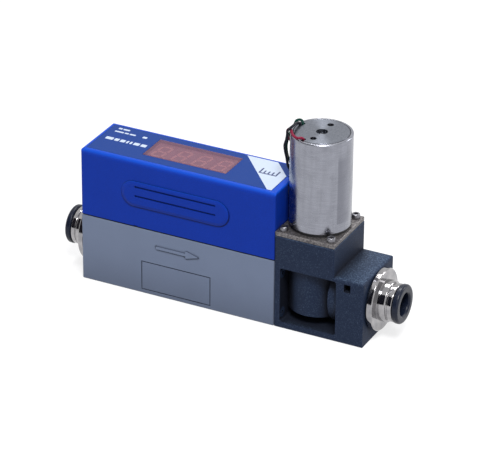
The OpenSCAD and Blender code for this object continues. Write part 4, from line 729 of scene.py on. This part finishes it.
for lead_name, (lead_side, lead_colour, from_can, from_cover) in LEAD_ROUTES.items():
    at_plug = PLUG_TOP + np.array([[0, lead_side, high] for high in PLUG_APPROACH])
    route = np.vstack([CAN_TOP_POINT + np.array(from_can), COVER_CORNER + np.array(from_cover), at_plug])
    lead_rings = tube_rings(smooth_path(route, LEAD_STEPS), LEAD_R, LEAD_SIDES)
    lead = skin(f"{lead_name}_wire", lead_rings, sharp=60)
    lead.data.materials.append(grained(
        f"{lead_name}_insulation", lead_colour, roughness=0.5, grain=0.5, depth=0.004, contrast=0.25,
        Specular_IOR_Level=0.15,
    ))
    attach(lead, "controller")
    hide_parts(lead_name)

# ---- Electronics inside the cover ---------------------------------------------------------
# Green circuit boards on brass standoffs, black and white connectors and a flat controller chip.
# Only the ends of the signal pins show, in their black shroud at the inlet end.

dress(grained("board_laminate", (0.02, 0.14, 0.05), roughness=0.35, grain=0.6, contrast=0.2),
      "main_board", "display_board", "sensor_board")
brass = grained("brass_pins", (0.70, 0.52, 0.22), roughness=0.25, metallic=1.0, grain=0.2)
dress(brass, "board_standoffs", "connector_pins")
dress(grained("connector_black", (0.014, 0.014, 0.016), roughness=0.4, grain=0.3, contrast=0.25),
      "controller_chip", "board_header", "sensor_header", "connector_housing")
dress(grained("natural_nylon", (0.66, 0.63, 0.52), roughness=0.45, grain=0.4), "valve_plug")
dress(screw_steel, "cover_screws", "display_screws", "board_screws")

# ---- Cover --------------------------------------------------------------------------------
# A cover moulded in blue plastic with a faint spark-eroded texture and soft top edges.
# On each side is a raised grip pad with two long grooves, and a pry notch sits on the seam.

COVER_BLUE = (0.004, 0.036, 0.370)
PAD_CENTRE = (-17.75, 39.25)
PAD_STRAIGHT = 16.35
PAD_R = 4.95
PAD_EDGE = 1.1
# Colours of the painted light on edges and of the painted shade under the pad.
LIT_EDGE_BLUE = (0.001, 0.085, 0.620)
SHADE_BLUE = (0.001, 0.006, 0.070)
EDGE_Z = (COVER_CORNER[2] - 1.1, COVER_CORNER[2] - 0.4)
COVER_SEAM = (SEAM_Z + 0.45, SEAM_Z + 0.36)
PAD_LINE = ((PAD_R - 0.25, PAD_R - 0.05), (PAD_R + 0.20, PAD_R + 0.40))
PAD_SHADE_Z = (PAD_CENTRE[1] - 2.5, PAD_CENTRE[1] + 1.0)
PAD_LIGHT_Z = (PAD_CENTRE[1] + 1.0, PAD_CENTRE[1] + 3.0)

cover_plastic = grained(
    "moulded_blue", COVER_BLUE, roughness=0.45, grain=0.35, depth=0.010, contrast=0.10,
    Specular_IOR_Level=0.15,
)
tree = cover_plastic.node_tree
shader = tree.nodes["Principled BSDF"]
away = tree.nodes.new("ShaderNodeVectorMath")
away.operation = "ABSOLUTE"
tree.links.new(placed(tree, (1.0, 0.0, 1.0), (PAD_CENTRE[0], 0.0, PAD_CENTRE[1])), away.inputs[0])
past = tree.nodes.new("ShaderNodeVectorMath")
past.operation = "SUBTRACT"
past.inputs[1].default_value = (PAD_STRAIGHT * MM, 0.0, 0.0)
tree.links.new(away.outputs[0], past.inputs[0])
beyond = tree.nodes.new("ShaderNodeVectorMath")
beyond.operation = "MAXIMUM"
beyond.inputs[1].default_value = (0.0, 0.0, 0.0)
tree.links.new(past.outputs[0], beyond.inputs[0])
reach = tree.nodes.new("ShaderNodeVectorMath")
reach.operation = "LENGTH"
tree.links.new(beyond.outputs[0], reach.inputs[0])
crown = spread(tree, reach.outputs["Value"], 1.0, 0.0, (PAD_R - PAD_EDGE) * MM, PAD_R * MM)
fine_bump = shader.inputs["Normal"].links[0].from_socket
plain_blue = shader.inputs["Base Color"].links[0].from_socket
height = coordinate(tree, "Z")
# Painted light along the cover's top edges and on the pad's upper edge, and painted shade under the pad's
# lower edge.
rim_light = spread(tree, height, 0.0, 0.5, EDGE_Z[0] * MM, EDGE_Z[1] * MM)
pad_outline = product(
    tree,
    spread(tree, reach.outputs["Value"], 0.0, 1.0, PAD_LINE[0][0] * MM, PAD_LINE[0][1] * MM),
    spread(tree, reach.outputs["Value"], 1.0, 0.0, PAD_LINE[1][0] * MM, PAD_LINE[1][1] * MM),
)
pad_shadow = product(
    tree, pad_outline, spread(tree, height, 0.85, 0.0, PAD_SHADE_Z[0] * MM, PAD_SHADE_Z[1] * MM),
)
pad_highlight = product(
    tree, pad_outline, spread(tree, height, 0.0, 0.4, PAD_LIGHT_Z[0] * MM, PAD_LIGHT_Z[1] * MM),
)
tone = blend_colours(tree, rim_light, plain_blue, LIT_EDGE_BLUE)
tone = blend_colours(tree, pad_highlight, tone, LIT_EDGE_BLUE)
tree.links.new(blend_colours(tree, pad_shadow, tone, SHADE_BLUE), shader.inputs["Base Color"])
add_bump(tree, shader, crown, depth=0.30, below=fine_bump)
# Painted shade in the inner corners, round the pad, its grooves and the seam.
paint_corner_shade(cover_plastic, reach=0.7, amount=0.7)
darken_level(cover_plastic, *COVER_SEAM)
dress(cover_plastic, "cover")

# ---- Printed film -------------------------------------------------------------------------
# A polyester film in a darker blue is stuck into a shallow recess in the cover's top. Its print
# is white, short bars where a legend goes and a slanted band, with a plain scale of ticks in blue.

FILM_BLUE = (0.006, 0.040, 0.220)
INK_WHITE = (0.52, 0.60, 0.74)
FILM_TOP = box_mm("top_film")[1][2]
INK_T = 0.02
BAR_EASE = 0.25
BODY_CORNER = np.array([box_mm("flow_body")[0][0], box_mm("valve_block")[0][1]])
BAND = [(54.8, 22.75), (67.0, 22.75), (74.25, 14.3), (74.4, 2.25), (72.65, 2.25)]
SCALE_FOOT = 13.0
SCALE_LEFT = 64.2
TICK_W, TICK_STEP = 0.6, 1.6
TICK_HEIGHTS = (3.4, 2.0, 2.0, 2.0, 3.4)
LEGEND_BARS = [
    # left, middle, length, height of each bar, in body millimetres
    (3.5, 12.3, 3.0, 1.9), (7.1, 12.3, 1.7, 1.9), (9.4, 12.3, 1.9, 1.9), (11.9, 12.3, 0.8, 1.9),
    (13.3, 12.3, 0.8, 1.9), (14.8, 12.3, 2.3, 1.9), (17.7, 12.3, 2.2, 1.9),
    (3.9, 18.3, 3.6, 0.9), (7.9, 18.3, 1.6, 0.9), (9.9, 18.3, 2.4, 0.9), (15.2, 18.3, 1.7, 1.3),
    (4.1, 20.8, 1.5, 1.0), (6.0, 20.8, 2.6, 1.0),
]

film_finish = grained(
    "printed_film", FILM_BLUE, roughness=0.48, grain=0.5, depth=0.003, contrast=0.06,
    Specular_IOR_Level=0.12,
)
dress(film_finish, "top_film")
white_ink = grained(
    "white_ink", INK_WHITE, roughness=0.4, grain=0.5, depth=0.002, contrast=0.03, Specular_IOR_Level=0.25,
)
blue_ink = grained("blue_ink", (0.015, 0.03, 0.13), roughness=0.35, grain=0.5, depth=0.002)


def printed(name, outline, ink, layer=1):
    """A thin flat print on the film: an outline in body millimetres, as thick as its ink."""
    flat = np.asarray(outline, float) + BODY_CORNER
    base, top = FILM_TOP + INK_T * (layer - 1), FILM_TOP + INK_T * layer
    rings = np.stack([np.column_stack([flat, np.full(len(flat), z)]) for z in (base, top)])
    mark = skin(name, rings, sharp=20)
    mark.data.materials.append(ink)
    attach(mark, "controller")
    return mark


def bar(left, middle, length, height):
    """Outline of a short bar with softened corners: from left to left + length, and half of its
    height to either side of its middle line."""
    right, low, high = left + length, middle - height / 2, middle + height / 2
    return eased([(left, low), (right, low), (right, high), (left, high)], BAR_EASE)


printed("slanted_band", BAND, white_ink)
scale_length = TICK_STEP * (len(TICK_HEIGHTS) - 1) + TICK_W
printed("scale_line", bar(SCALE_LEFT, SCALE_FOOT - TICK_W / 2, scale_length, TICK_W), blue_ink, layer=2)
for number, tall in enumerate(TICK_HEIGHTS):
    tick = bar(SCALE_LEFT + TICK_STEP * number, SCALE_FOOT + tall / 2, TICK_W, tall)
    printed(f"scale_tick_{number + 1}", tick, blue_ink, layer=2)
for number, legend_bar in enumerate(LEGEND_BARS):
    printed(f"legend_bar_{number + 1}", bar(*legend_bar), white_ink)

# ---- Display ------------------------------------------------------------------------------
# Four unlit seven-bar digits of salmon resin in a mauve module, behind a tinted acrylic lens.
# The lens stands a little proud of the film, and its bevelled edge catches the light.

display_mauve = grained("display_mauve", (0.27, 0.12, 0.16), roughness=0.5, grain=0.5)
dress(display_mauve, "display_module")
segment_salmon = grained("segment_salmon", (0.90, 0.42, 0.36), roughness=0.4, grain=0.5, contrast=0.06)
dress(segment_salmon, "display_segments")
lens_finish = grained(
    "tinted_acrylic", (0.27, 0.13, 0.19), roughness=0.16, grain=1.5, depth=0.001,
    Alpha=0.46, Specular_IOR_Level=0.3,
)
dress(lens_finish, "display_lens")

# ---- Push-in fittings ---------------------------------------------------------------------
# Nickel-plated brass, turned from bar: a broad flange, a shoulder, a narrow groove and a ring.
# The release collar in it is black acetal, and slides a little way inward to let the tube go.

BODY_END = box_mm("valve_block")[1][0]
GAS_LINE = (box_mm("inlet_collar")[0][2] + box_mm("inlet_collar")[1][2]) / 2
FITTING_TURNS = 160
NICKEL_TONES = (0.39, 0.38, 0.385), (0.26, 0.258, 0.27)
FITTING_EASE, COLLAR_EASE = 0.1, 0.25
FITTING_PROFILE = [
    # radius and distance outward from the body's end
    (3.0, -10.5), (7.75, -10.5), (8.25, -10.0), (8.25, 0.4), (11.0, 0.4), (11.3, 0.7), (11.3, 2.4),
    (11.0, 2.7), (7.5, 2.7), (7.5, 5.5), (7.2, 5.8), (6.7, 5.8), (6.7, 6.3), (6.8, 6.3), (6.95, 6.45),
    (6.95, 7.8), (6.65, 8.1), (5.48, 8.1), (5.48, 3.6), (6.0, 3.6), (6.0, 0.6), (5.5, 0.6), (5.5, -1.2),
    (4.6, -1.2), (4.6, -1.6), (6.0, -1.6), (6.0, -3.9), (4.1, -3.9), (4.1, -9.3), (3.0, -9.3),
]
COLLAR_PROFILE = [
    (4.1, 1.25), (5.55, 1.25), (5.75, 1.45), (5.75, 2.05), (5.4, 2.05), (5.4, 8.25), (6.8, 8.25),
    (7.15, 8.6), (7.15, 9.95), (6.6, 10.5), (4.6, 10.5), (4.1, 9.9),
]


def lying_along(profile, side, steps):
    """Rings round the gas line, one for each radius r and distance out in the profile:
    x = side (body end + out), y = r cos t, z = gas line + r sin t."""
    t = np.linspace(0, 2 * np.pi, steps, endpoint=False)
    r, out = profile[:, :1], profile[:, 1:]
    return np.stack([
        np.broadcast_to(side * (BODY_END + out), (len(profile), steps)),
        r * np.cos(t), GAS_LINE + r * np.sin(t),
    ], -1)


nickel, tree, shader = start_finish("bright_nickel", (0.42, 0.41, 0.41), roughness=0.12, metallic=1.0)
tool_marks = noise(tree, size=0.12, detail=2.0, stretch=(1.0, 0.02, 0.02))
haze = noise(tree, size=2.5, detail=3.0)
tone = blend_colours(tree, spread(tree, haze, 0.0, 1.0), *NICKEL_TONES)
tree.links.new(tone, shader.inputs["Base Color"])
tree.links.new(spread(tree, haze, 0.06, 0.13), shader.inputs["Roughness"])
add_bump(tree, shader, tool_marks, depth=0.0015)
acetal = grained(
    "collar_black", (0.007, 0.011, 0.026), roughness=0.32, grain=0.4, depth=0.004, contrast=0.2,
    Specular_IOR_Level=0.25,
)

for end_name, side in (("inlet", -1), ("outlet", 1)):
    fitting_rings = lying_along(eased(FITTING_PROFILE, FITTING_EASE), side, FITTING_TURNS)
    fitting = skin(f"{end_name}_push_fitting", fitting_rings, loop=True)
    fitting.data.materials.append(nickel)
    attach(fitting, "controller")
    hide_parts(f"{end_name}_fitting")
    collar_rings = lying_along(eased(COLLAR_PROFILE, COLLAR_EASE), side, FITTING_TURNS)
    collar = skin(f"{end_name}_release_collar", collar_rings, loop=True)
    collar.data.materials.append(acetal)
    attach(collar, f"{end_name}_collar")
    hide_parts(f"{end_name}_collar")
